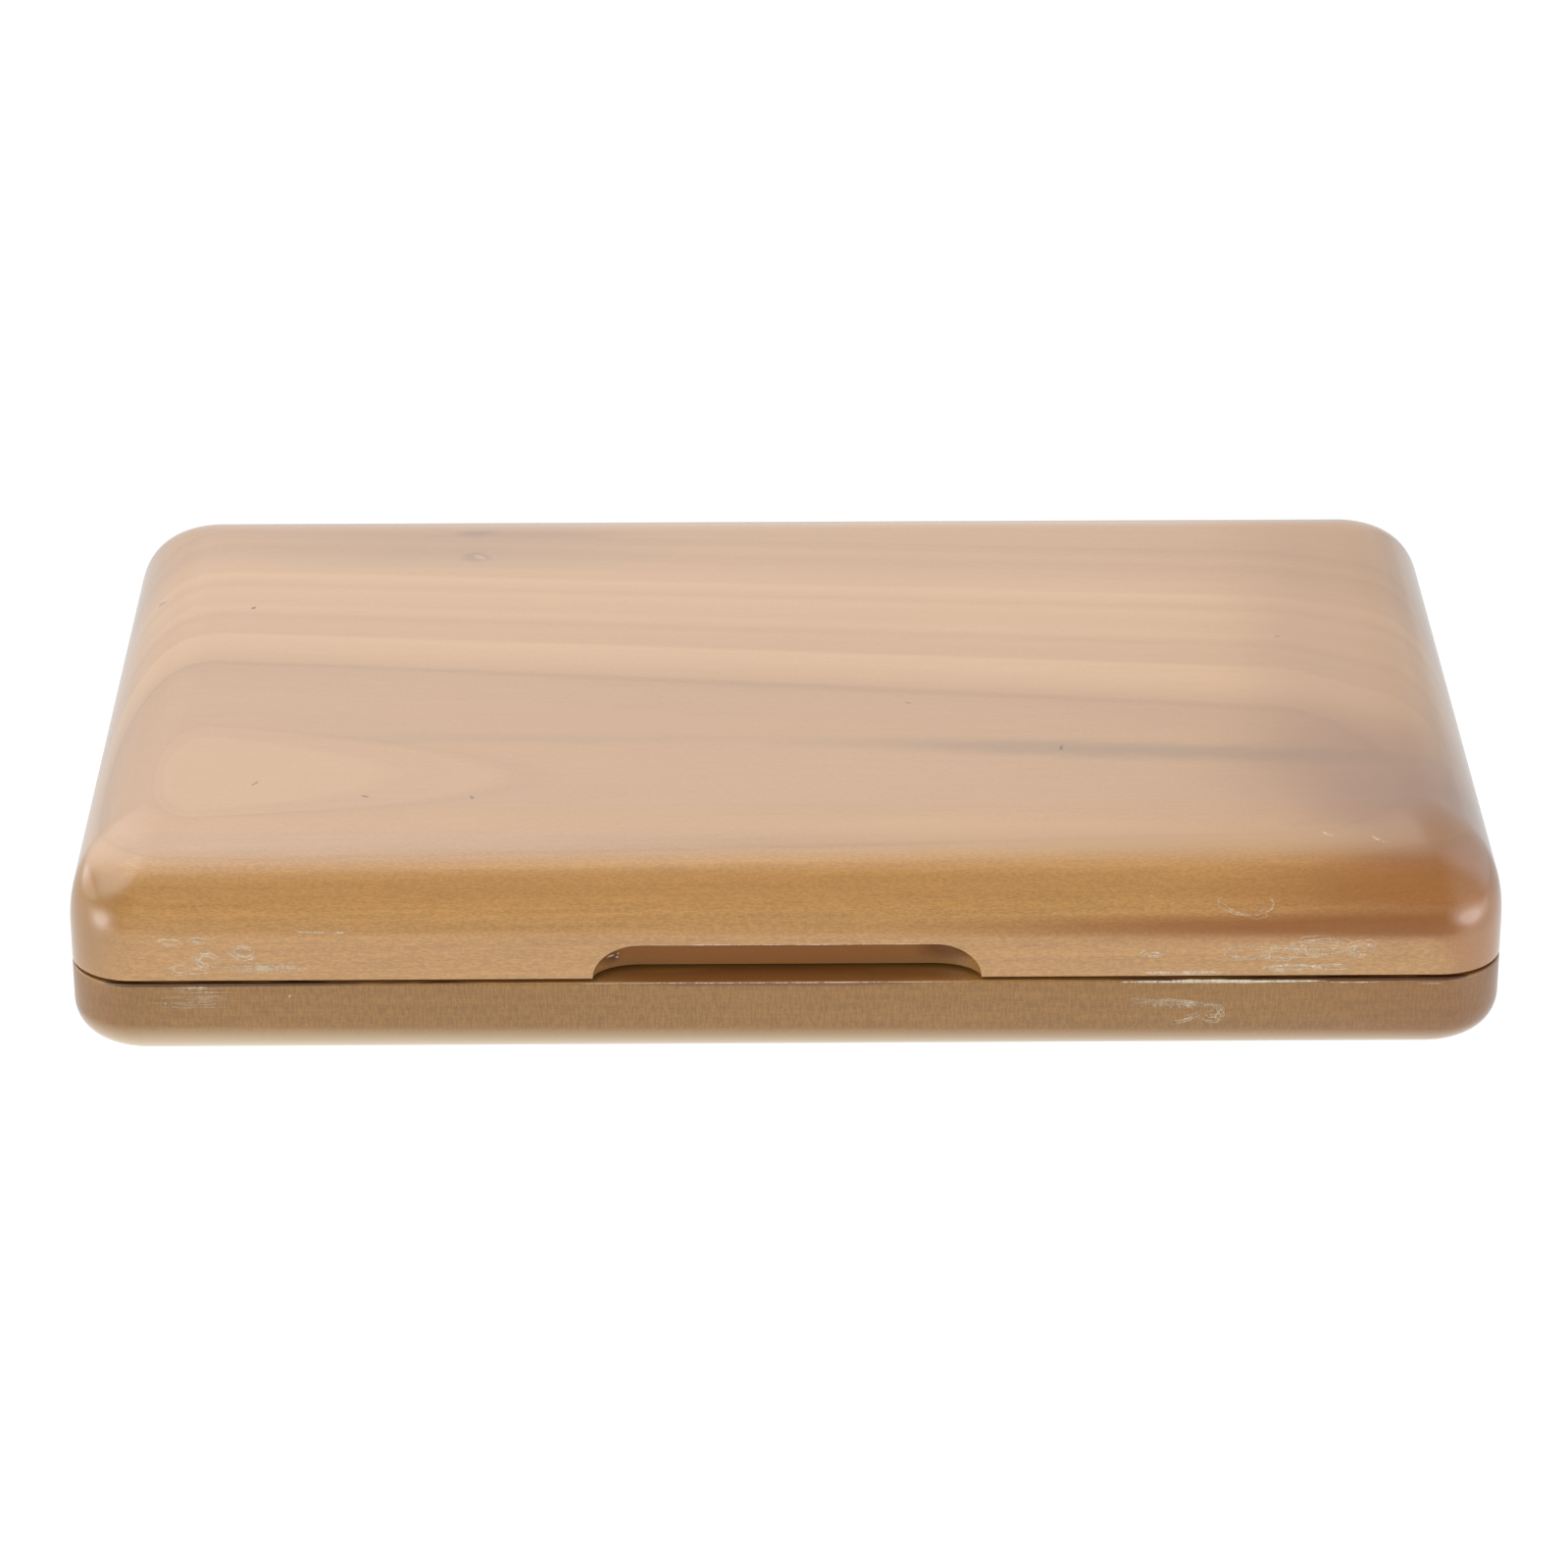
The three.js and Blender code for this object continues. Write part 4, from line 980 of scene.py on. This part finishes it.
def notch_grid(rings, left, right, top, rise):
    """Rows from the patch's edge in to the notch's lip, then down the notch's wall to its lower edge.
    Over the face a point slides from the edge to the lip, and the face's own curve gives its depth.
    The lip is a straight run with a quarter ellipse at each end. In the notch the section is a
    superellipse as high and deep as the lip is high there, so the ends are round every way."""
    edge = np.concatenate([rings[:top, left], rings[top, left:right + 1], rings[:top, right][::-1]])
    edge_x, edge_rise = edge[:, 0], edge[:, 2] - lid_bottom
    low_turn = np.arcsin(rise[:edge_rows] / notch_height)
    high_turn = np.linspace(low_turn[-1], np.pi / 2, end_columns - edge_rows + 1)[1:]
    turn = np.concatenate([low_turn, high_turn])
    flat = len(edge) - 2 * end_columns
    lip_x = np.concatenate([-notch_flat / 2 - notch_end * np.cos(turn),
                            np.linspace(-1, 1, flat + 2)[1:-1] * notch_flat / 2,
                            notch_flat / 2 + notch_end * np.cos(turn[::-1])])
    scale = np.concatenate([np.sin(turn), np.ones(flat), np.sin(turn[::-1])])
    lip_rise = notch_height * scale

    # Steps crowd towards the lip on both sides, so that the rounding there has points to bend.
    fine = notch_lip / 3
    near = fine * np.arange(lip_rows, 0, -1)
    share = np.linspace(0, 1, 12, endpoint=False)[:, None] ** 0.8
    gap = np.hypot(edge_x - lip_x, edge_rise - lip_rise)
    far = (1 - share) * (1 - near[0] / gap) + near[0] / gap
    away = np.concatenate([far, near[1:, None] / gap, np.zeros((1, len(edge)))])
    x = lip_x + away * (edge_x - lip_x)
    up = lip_rise + away * (edge_rise - lip_rise)
    face = np.stack([x, -half_depth + lid_face(up), lid_bottom + up], -1)

    section = np.radians(np.linspace(90, 0, 400))
    deep = notch_depth * np.cos(section) ** (2 / notch_power)
    high = notch_height * np.sin(section) ** (2 / notch_power)
    run = np.concatenate([[0], np.cumsum(np.hypot(np.diff(deep), np.diff(high)))])
    wanted = np.concatenate([fine * np.arange(1, lip_rows + 1),
                             np.linspace(fine * (lip_rows + 1), run[-1], wall_rows)])
    deep, high = np.interp(wanted, run, deep), np.interp(wanted, run, high)
    wall = np.stack(np.broadcast_arrays(
        lip_x[None],
        -half_depth + lid_face(lip_rise)[None] + deep[:, None] * scale,
        lid_bottom + high[:, None] * scale), -1)
    grid = np.concatenate([face, wall])
    # The lip is rubbed over: each row near it moves to the weighted mean of its neighbours.
    lip = len(face) - 1
    weights = np.array([1, 3, 5, 6, 5, 3, 1]) / 24
    beside = len(weights) // 2
    rubbed = grid.copy()
    for row in range(lip - lip_rows // 2, lip + lip_rows // 2 + 1):
        rubbed[row] = np.tensordot(weights, grid[row - beside:row + beside + 1], 1)
    rubbed[:, [0, -1], 2] = lid_bottom
    return rubbed


# The lid's bands, by depth in millimetres: low at the rear, then a sharp pale band across the middle
# with a thin dark line in front of it, and two closed loops at the left front corner.
lid_board = {
    "rise": 200, "tilt": 0.02, "twist": 0.0003, "valley": -29, "bends": [(50, 63), (-57.5, -68)],
    "stops": [(4.4, 0.42), (5.1, 0.27), (6.6, 0.5), (7.5, 0.32), (8.5, 0.43), (10.3, 0.68),
              (11.05, 0.68), (11.6, 1.0), (12.1, 0.89), (12.9, 0.69), (13.5, 0.86), (14.9, 0.74),
              (15.6, 0.86), (16.0, 0.76), (16.4, 0.51), (16.9, 0.64), (18.1, 0.58), (18.32, 0.94),
              (19.2, 0.82), (19.8, 0.64), (20.35, 0.36), (20.45, 0.1), (20.6, 0.12), (20.72, 0.27),
              (22.2, 0.38), (23.5, 0.42), (23.55, 0.3), (23.58, 0.56), (23.72, 0.52), (23.78, 0.38),
              (23.81, 0.7), (25, 0.68)],
    "edge_shares": {"line": 0.34, "fibre": 0.26, "pore_cut": 0.2, "fleck_cut": 0.04},
}
# Soft clouds at the sides and down the front first, then painted shade in the notch and at its right end, and
# the chips in its left end.
lid_marks = [
    ((-36, 31, 22), (36, 10, 20), 0, "#7d5b3d", 0.33, 0),
    ((57, -2, 22), (14, 60, 20), 0, "#7f5a3c", 0.33, 0.2),
    ((60, -27, 22), (23, 22, 20), 0, "#744a2a", 0.62, 0.1),
    ((80, -46, 17.8), (47, 16, 5.4), 0, "#8c4814", 0.62, 0.4),
    ((66, -35, 21.5), (19, 12, 6), 0, "#6f452a", 0.55, 0.3),
    ((0, -43.2, 18.4), (200, 3, 2.3), 0, "#95662a", 0.3, 0.2),
    ((70, -44, 14.0), (70, 4, 2.1), 0, "#8a4c10", 0.8, 0.3),
    # Painted shade in the notch, a little warmer than the wood, and a painted shadow at its right end.
    ((-1, -41.2, 11), (26, 2.6, 3), 0, "#aa6d38", 0.7, 0.6),
    ((16, -41, 10.6), (4, 2.4, 1.9), 0, "#5c3012", 0.55, 0.3),
    ((-17.4, -41, 9.8), (1.7, 1.8, 1.1), 0, "#54280f", 0.7, 0.2),
]
for x, z, half_x, half_z in ((-17.9, 9.7, 0.3, 0.16), (-17.2, 10, 0.35, 0.14),
                             (-16.6, 9.7, 0.3, 0.12), (-16.5, 10.1, 0.2, 0.12)):
    lid_marks.append(((x, -41, z), (half_x, 2, half_z), 0, "#efe6dc", 0.9, 0.4))
lid_marks += [
    ((-70, -42, 17), (8, 8, 14), 0, "#94682f", 0.9, 0.4),
    ((70, -43, 12), (8, 6.5, 7), 0, "#a4682c", 0.7, 0.5),
]
# Through the top, each with its place and its half-lengths along x and y: the mineral streak, fainter
# streaks, the marks left by two pin knots, and dark specks.
top_mark_reach = 9
for *place, half_x, half_y, turn, colour, strength, full in (
        (33, -22.6, 23, 45, 3.0, -4.3, "#5f4629", 0.45, 0.1),
        (-26, -19.2, 23, 34, 2.2, -1.5, "#6d4f32", 0.2, 0),
        (30, -39.4, 22, 40, 2.4, -1, "#a27a4c", 0.6, 0.3),
        (-25, 33.6, 23, 15, 1.6, -1, "#6d4b36", 0.3, 0),
        (-33, 33.9, 23, 3.4, 1.6, 0, "#4f322c", 0.45, 0),
        (-32.5, 27.4, 23, 2, 1.9, 0, "#5d4034", 0.4, 0.3),
        (-32.2, 27.3, 23, 0.7, 0.9, 0, "#b39068", 0.4, 0.3),
        (-55.5, 13.8, 23, 0.3, 0.5, 0, "#2e1d12", 0.8, 0.5),
        (12.5, -11, 23, 0.5, 0.4, 0, "#6b4632", 0.7, 0.4),
        (27.5, -22, 23, 0.3, 0.6, 0, "#2e1d12", 0.7, 0.5),
        (-41.5, -32.4, 23, 0.5, 0.4, 30, "#4a3020", 0.7, 0.4),
        (-30.5, -33.1, 23, 0.25, 0.6, -35, "#3b2618", 0.8, 0.4),
        (-52.2, -29.5, 23, 0.3, 0.4, 0, "#6b4632", 0.8, 0.4),
        (-65.5, 17.8, 22, 0.4, 0.6, 0, "#5a4036", 0.6, 0.4),
        (51.5, 5.3, 23, 0.4, 0.4, 0, "#6b4632", 0.7, 0.4)):
    lid_marks.append((place, (half_x, half_y, top_mark_reach), turn, colour, strength, full))
lid_maple = lacquered_maple("satin_maple_lid", lid_board, lid_pale, lid_dark, lid_sapwood_and_front_light, 1, lid_marks)
lid_body = make_lid_shell()
lid_body.data.materials.append(lid_maple)
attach(lid_body, "lid")
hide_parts("lid_shell")


# Lid pad
# The same velvet over foam, glued under the lid's roof, so that it holds the reeds down when the case is
# shut.

lid_pad_low, lid_pad_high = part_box("lid_pad")
lid_velvet = velvet_pad("lid_velvet", "lid_pad", lid_pad_high.z, lid_pad_low.z)
lid_velvet.data.materials.append(wine_velvet)
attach(lid_velvet, "lid")
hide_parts("lid_pad")


# Wax marks and painted edge highlights
# Cork grease and candle wax from the reeds has dried white where fingers open the case: loops and streaks low
# on the lid's front and a smear on the base. Pale lines along the seam and along the notch's lips are painted
# highlights on those edges, drawn the same way. Each is a low ridge.

stroke_points = 48
stroke_rise = 0.03 * mm
wax_and_highlight_white = "#ecdfc6"
stroke_speck = 0.3125 * mm
stroke_patch = 10 / 7 * mm
# Bundles of strokes on the front, each an arc of an ellipse: centre along x and z and half-lengths in
# millimetres, turn, start and end of the arc in degrees, half-width in millimetres, number of copies,
# their scatter in millimetres and the share by which they shrink.
lid_wax_and_highlight_bundles = [
    (-59.6, 12.9, 1.2, 0.3, -8, 0, 330, 0.05, 2, 0.08, 0.3),
    (-57.0, 13.1, 0.85, 0.3, -6, 20, 360, 0.06, 3, 0.06, 0.4),
    (-56.05, 10.95, 1.45, 0.8, -14, 0, 350, 0.045, 6, 0.1, 0.6),
    (-52.65, 11.8, 1.5, 0.75, -8, 30, 380, 0.045, 7, 0.12, 0.6),
    (-58.9, 9.9, 0.9, 0.55, 0, 0, 340, 0.06, 3, 0.1, 0.5),
    (-57.2, 9.7, 1.2, 0.35, 0, 0, 340, 0.06, 2, 0.1, 0.5),
    (-50.5, 10.2, 4.2, 0.12, -1, 180, 360, 0.03, 16, 0.45, 0.8),
    (-45.3, 14.0, 2.6, 0.06, -1, 180, 360, 0.05, 3, 0.14, 0.4),
    (44.6, 11.1, 2.3, 0.75, 0, 10, 350, 0.038, 4, 0.15, 0.5),
    (47.8, 11.2, 2.0, 0.8, 0, 40, 390, 0.038, 5, 0.15, 0.6),
    (52.0, 11.8, 3.0, 0.95, 0, 0, 350, 0.038, 9, 0.2, 0.7),
    (55.7, 11.5, 1.5, 0.85, 10, -60, 290, 0.045, 7, 0.12, 0.7),
    (50.5, 11.6, 5.5, 0.3, 0, 180, 360, 0.04, 6, 0.4, 0.6),
    (35.5, 11.0, 1.1, 0.2, 0, 0, 340, 0.05, 3, 0.12, 0.4),
    (34.6, 11.2, 0.25, 0.2, 0, 0, 350, 0.09, 2, 0.04, 0.6),
    (38.6, 9.1, 3.8, 0.08, 0, 180, 360, 0.06, 7, 0.14, 0.5),
    (49.0, 9.5, 2.6, 0.35, 0, 0, 350, 0.06, 6, 0.15, 0.6),
    (52.8, 9.5, 1.8, 0.3, 0, 0, 340, 0.05, 3, 0.2, 0.5),
    (44.0, 16.0, 2.6, 0.9, -15, 150, 420, 0.03, 3, 0.12, 0.4),
    (46.3, 16.2, 0.9, 0.8, 0, 250, 420, 0.03, 2, 0.1, 0.3),
    (35.4, 16.9, 0.3, 0.2, -45, 0, 180, 0.03, 2, 0.1, 0.3),
    (52.6, 21.75, 0.6, 0.05, -14, 180, 360, 0.03, 2, 0.12, 0.3),
    (57.4, 21.45, 0.75, 0.06, -16, 180, 360, 0.03, 3, 0.15, 0.4),
    # Painted highlight along the lip of the notch.
    (0, 12.33, 14.5, 0, 0, 180, 360, 0.045, 1, 0, 0),
]
base_wax_and_highlight_bundles = [
    (-57.6, 7.1, 3.2, 0.12, 0, 180, 360, 0.016, 30, 0.75, 0.9),
    (-57.9, 7.97, 1.5, 0.03, 0, 180, 360, 0.06, 1, 0, 0),
    (-60.4, 6.25, 0.1, 0.1, 0, 0, 350, 0.06, 1, 0, 0),
    (-48.3, 6.97, 0.1, 0.1, 0, 0, 350, 0.06, 1, 0, 0),
    # Painted highlight along the base's top edge at the seam, in the next four bundles.
    (42.4, 8.1, 9.7, 0.02, 0, 180, 360, 0.12, 5, 0.03, 0.1),
    (41.6, 8.13, 4.5, 0.02, -0.6, 180, 360, 0.16, 3, 0.05, 0.5),
    (55.2, 7.95, 2.2, 0.03, 0, 180, 360, 0.05, 1, 0, 0),
    (62.5, 7.78, 1.2, 0.03, 0, 180, 360, 0.04, 1, 0, 0),
    (38.2, 5.2, 4.8, 0.9, -5, 20, 200, 0.022, 24, 0.2, 0.9),
    (39.8, 4.5, 2.6, 0.4, 20, 180, 330, 0.022, 8, 0.25, 0.7),
    (41.2, 5.0, 1.7, 1.2, -35, -100, 80, 0.026, 10, 0.16, 0.6),
    # Painted highlight along the edge of the ledge below the notch.
    (-1, 8.2, 18, 0, 0, 180, 360, 0.05, 1, 0, 0),
]


def base_face(rise):
    """How far the base's side is drawn in at a height: the stretched quarter circle of its round."""
    low = np.clip(1 - np.asarray(rise, float) / base_round_rise, 0, 1)
    return base_round_across * (1 - np.sqrt(1 - low ** 2))


def wax_and_highlight_strokes(name, bundles, face, foot, seed):
    """Strokes of wax, and the painted highlight lines, as closed ridges of four sides. Each copy in a bundle
    shrinks a little more and is set down at random nearby. A stroke runs along its arc and wavers with two
    sines, its half-width swells from nothing with the square root of a sine, and its crest stands off the
    face, which gives each point its depth from its height above the foot."""
    chance = np.random.default_rng(seed)
    strokes = []
    for *shape, copies, scatter, shrink in bundles:
        for copy in range(copies):
            x, z, half_x, half_z, turn, start, end, width = shape
            size = 1 - shrink * copy / copies
            dx, dz = chance.normal(0, 1, 2) * scatter
            phase = chance.random() * 6
            strokes.append((x + dx, z + dz * 0.7, half_x * size, half_z * size, turn, start, end,
                            width, phase))
    x, z, half_x, half_z, turn, start, end, width, phase = np.array(strokes).T[:, :, None]
    step = np.linspace(0, 1, stroke_points)
    angle = np.radians(start + (end - start) * step)
    waver = 1 + 0.08 * np.sin(4 * angle + phase) + 0.05 * np.sin(9 * angle + 2.3 * phase)
    along, up = half_x * waver * np.cos(angle), half_z * waver * np.sin(angle)
    cos, sin = np.cos(np.radians(turn)), np.sin(np.radians(turn))
    path = np.stack([x + along * cos - up * sin, z + along * sin + up * cos], -1) * mm
    heading = np.gradient(path, axis=1)
    heading /= np.linalg.norm(heading, axis=-1, keepdims=True)
    beside = np.stack([-heading[..., 1], heading[..., 0]], -1)
    swell = np.sqrt(np.sin(np.pi * np.clip(step, 0.002, 0.998)))
    half = width * mm * swell * (0.8 + 0.2 * np.sin(23 * step + phase))
    points = np.stack([path + beside * half[..., None] * share for share in (-1, 0, 1, 0)], 2)
    lift = np.array([0, stroke_rise, 0, -stroke_rise]) * np.sin(np.pi * step)[:, None] ** 0.5
    height = points[..., 1] - foot
    depth = face(height)
    probe = 0.01 * mm
    slope = (face(height + probe) - depth) / probe
    length = np.sqrt(1 + slope ** 2)
    solid = np.stack([points[..., 0], -half_depth + depth - lift / length,
                      points[..., 1] + lift * slope / length], -1)
    faces = []
    for stroke in range(len(strokes)):
        first = stroke * stroke_points * 4
        last = first + (stroke_points - 1) * 4
        faces += grid_quads(stroke_points, 4, first).tolist()
        faces += [[first + i for i in (3, 2, 1, 0)], [last + i for i in (0, 1, 2, 3)]]
    return make_mesh(name, solid, faces)


def make_wax_and_highlight_paint(name, white):
    """Dried wax, also the paint of the highlight lines: chalky white, worn through in specks, so that the
    wood shows between them.
    """
    material, tree = new_material(name)
    place = add_node(tree, "TexCoord").outputs["Object"]
    specks = add_node(tree, "TexNoise", {"Vector": place, "Scale": 1 / stroke_speck, "Detail": 2})
    patches = add_node(tree, "TexNoise", {"Vector": place, "Scale": 1 / stroke_patch, "Detail": 1})
    cover = add_node(tree, "Math", [specks, patches], operation="ADD")
    alpha = add_node(tree, "MapRange", [cover, 0.75, 1.2, 0.08, 0.7])
    surface = add_node(tree, "BsdfPrincipled", {
        "Base Color": linear(white), "Roughness": 0.7, "Alpha": alpha})
    add_node(tree, "OutputMaterial", {"Surface": surface})
    return material


wax_and_highlight_paint = make_wax_and_highlight_paint("dry_wax_and_painted_highlights", wax_and_highlight_white)
lid_wax_and_highlights = wax_and_highlight_strokes("lid_wax_and_highlights", lid_wax_and_highlight_bundles, lid_face, lid_bottom, 5)
lid_wax_and_highlights.data.materials.append(wax_and_highlight_paint)
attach(lid_wax_and_highlights, "lid")
base_wax_and_highlights = wax_and_highlight_strokes("base_wax_and_highlights", base_wax_and_highlight_bundles, base_face, 0, 8)
base_wax_and_highlights.data.materials.append(wax_and_highlight_paint)
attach(base_wax_and_highlights, "base")


# Studio
# The case lies on a lit white panel under a large softbox, with bright white walls behind it and the
# darker room in front, and is seen from the front and about 25 degrees above.

camera_aim = Vector((0.08, 0.0, 8.84)) * mm
camera_distance = 601.9 * mm
camera_elevation = 25.19
camera_azimuth = -0.5
camera_roll = 0.07
sensor_width = 36.0
focal_length = 132.87
near_clip = 0.01
panel_half = 3.0

camera_data = bpy.data.cameras.new("camera")
camera_data.sensor_width = sensor_width
camera_data.lens = focal_length
camera_data.clip_start = near_clip
camera = bpy.data.objects.new("camera", camera_data)
bpy.context.collection.objects.link(camera)
tilt = Euler(np.radians((90 - camera_elevation, camera_roll, camera_azimuth)), "XYZ")
camera.rotation_euler = tilt
camera.location = camera_aim + tilt.to_matrix() @ Vector((0, 0, camera_distance))
bpy.context.scene.camera = camera

panel_points = np.array([(-1, -1, 0), (1, -1, 0), (1, 1, 0), (-1, 1, 0)]) * panel_half
panel = make_mesh("light_table", panel_points, [[0, 1, 2, 3]])
panel_material, tree = new_material("backlit_opal_acrylic")
# To the camera the panel is even. To the case, only its lit part is bright, which ends 36 mm in front
# of it: its edge shows in the lacquer as the straight line between the dark band and the pale one.
panel_place = add_node(tree, "TexCoord").outputs["Object"]
lit_edge = -half_depth - 36 * mm
seen_strength = 1.06
lit = 1.0
for along, start, full, share in (((-0.1, 1, 0), lit_edge + 3 * mm, lit_edge - 3 * mm, 0.7),
                                  ((0, 1, 0), -40 * mm, 10 * mm, 0.25)):
    reach = add_node(tree, "VectorMath", [panel_place, along], operation="DOT_PRODUCT").outputs["Value"]
    loss = add_node(tree, "MapRange", [reach, start, full, 0, share], interpolation_type="SMOOTHSTEP")
    lit = add_node(tree, "Math", [lit, loss], operation="SUBTRACT")
seen = add_node(tree, "LightPath").outputs["Is Camera Ray"]
lack = add_node(tree, "Math", [seen_strength, lit], operation="SUBTRACT")
glow = add_node(tree, "Math", [lack, seen, lit], operation="MULTIPLY_ADD")
add_node(tree, "OutputMaterial", {"Surface": add_node(tree, "Emission", {"Strength": glow})})
panel.data.materials.append(panel_material)


def area_light(name, shape, size, energy, place, facing_from, hidden_from):
    """An area light at a place, turned to shine away from a direction, which the camera doesn't see and
    which is kept out of one more kind of ray."""
    data = bpy.data.lights.new(name, "AREA")
    data.shape = shape
    data.size, data.size_y = size
    data.energy = energy
    light = bpy.data.objects.new(name, data)
    light.location = place
    light.rotation_euler = facing_from.to_track_quat("Z", "Y").to_euler()
    light.visible_camera = False
    setattr(light, "visible_" + hidden_from, False)
    bpy.context.collection.objects.link(light)


# A small soft light beside each front corner puts a gleam on it. Each is three ovals one in another, so
# that it fades outwards: radiance, length and height in millimetres. Two dimmer ovals veil the left
# corner. All of them show in the lacquer only.
gleam = ((3.6, 22, 9), (1.6, 34, 15), (0.6, 50, 22))
left_veil = ((1.3, 34, 9), (1.3, 48, 12))
lamp_distance = 45
for corner_point, towards, spread, ovals in (((-66.4, -43, 15), (-0.83, -0.53, -0.15), 1, gleam),
                                             ((66.4, -43, 14.8), (0.79, -0.57, -0.2), 1.6, gleam),
                                             ((-67, -42, 18), (-0.965, 0.17, 0.1), 1, left_veil)):
    reach = Vector(towards).normalized()
    for radiance, length, height in ovals:
        energy = radiance * np.pi ** 2 * spread * length * mm * height * mm / 4
        area_light("corner_light", "ELLIPSE", (spread * length * mm, height * mm), energy,
                   (Vector(corner_point) + reach * lamp_distance) * mm, reach, "diffuse")

# A fill light a metre away in front, which lights the wood but is kept out of its reflections.
fill_size = (0.6, 0.4)
fill_energy = 2.6
fill_elevation = np.radians(20)
fill_from = Vector((0, -np.cos(fill_elevation), np.sin(fill_elevation)))
area_light("fill", "RECTANGLE", fill_size, fill_energy, fill_from, fill_from, "glossy")

world = bpy.data.worlds.new("studio")
world.use_nodes = True
tree = world.node_tree
tree.nodes.clear()
gaze = add_node(tree, "TexCoord").outputs["Generated"]
# Each light's soft edge goes from 0 to 1 as a direction's dot product with the edge's own runs from start
# to full. White walls behind and at the sides leave the front dark, with dimmer gaps behind. The softbox
# hangs overhead and comes down on the left.
edges = {}
for light, towards, start, full in (
        ("walls", (0.177, 0.734, 0.655), 0.05, 0.5), ("right_part", (1, 0, 0), 0.072, 0.095),
        ("but_far_right", (-1, 0, 0), -0.8, -0.4), ("right_gap", (0.4226, 0.9063, 0), 0.968, 0.994),
        ("left_gap", (-0.39, 0.917, 0.087), 0.92, 0.985), ("box", (-0.532, 0.296, 0.793), 0.1, 0.55),
        ("box_front", (-0.5, -0.5, 0.7), -0.3, 0.9), ("box_right", (-0.9, 0.43, 0), -0.45, -0.1),
        ("box_rear_right", (-1, 0.2, 0), -0.25, 0.1), ("box_foot", (0, 0.3, 0.954), -0.1, 0.2),
        ("box_left", (1, 0, 0), -1.03, -0.86),
        ("strip", (0, -0.358, 0.934), 0.9, 0.965), ("strip_end", (-1, 0, 0), -0.09, 0.03),
        ("right_wall", (0.93, -0.32, 0.17), 0.5, 0.95)):
    dot = add_node(tree, "VectorMath", [gaze, towards], operation="DOT_PRODUCT")
    edges[light] = add_node(tree, "MapRange", [dot.outputs["Value"], start, full, 0, 1],
                            interpolation_type="SMOOTHSTEP")
right_dim = add_node(tree, "Math", [edges["right_part"], edges["but_far_right"]], operation="MULTIPLY")
walls = edges["walls"]
for dim, share in ((right_dim, 0.29), (edges["right_gap"], 0.15), (edges["left_gap"], 0.27)):
    left = add_node(tree, "Math", [dim, -share, 1], operation="MULTIPLY_ADD")
    walls = add_node(tree, "Math", [walls, left], operation="MULTIPLY")
walls = add_node(tree, "Math", [walls, 1.15, 0.12], operation="MULTIPLY_ADD")
box_light = edges["box"]
for edge in ("box_front", "box_right", "box_rear_right", "box_foot", "box_left"):
    box_light = add_node(tree, "Math", [box_light, edges[edge]], operation="MULTIPLY")
strip = add_node(tree, "Math", [edges["strip"], edges["strip_end"]], operation="MULTIPLY")
radiance = walls
for light, strength in ((box_light, 2.4), (strip, 0.5), (edges["right_wall"], 0.6)):
    radiance = add_node(tree, "Math", [light, strength, radiance], operation="MULTIPLY_ADD")
add_node(tree, "OutputWorld", {"Surface": add_node(tree, "Background", {"Strength": radiance})})
bpy.context.scene.world = world
bpy.context.scene.view_settings.view_transform = "Standard"
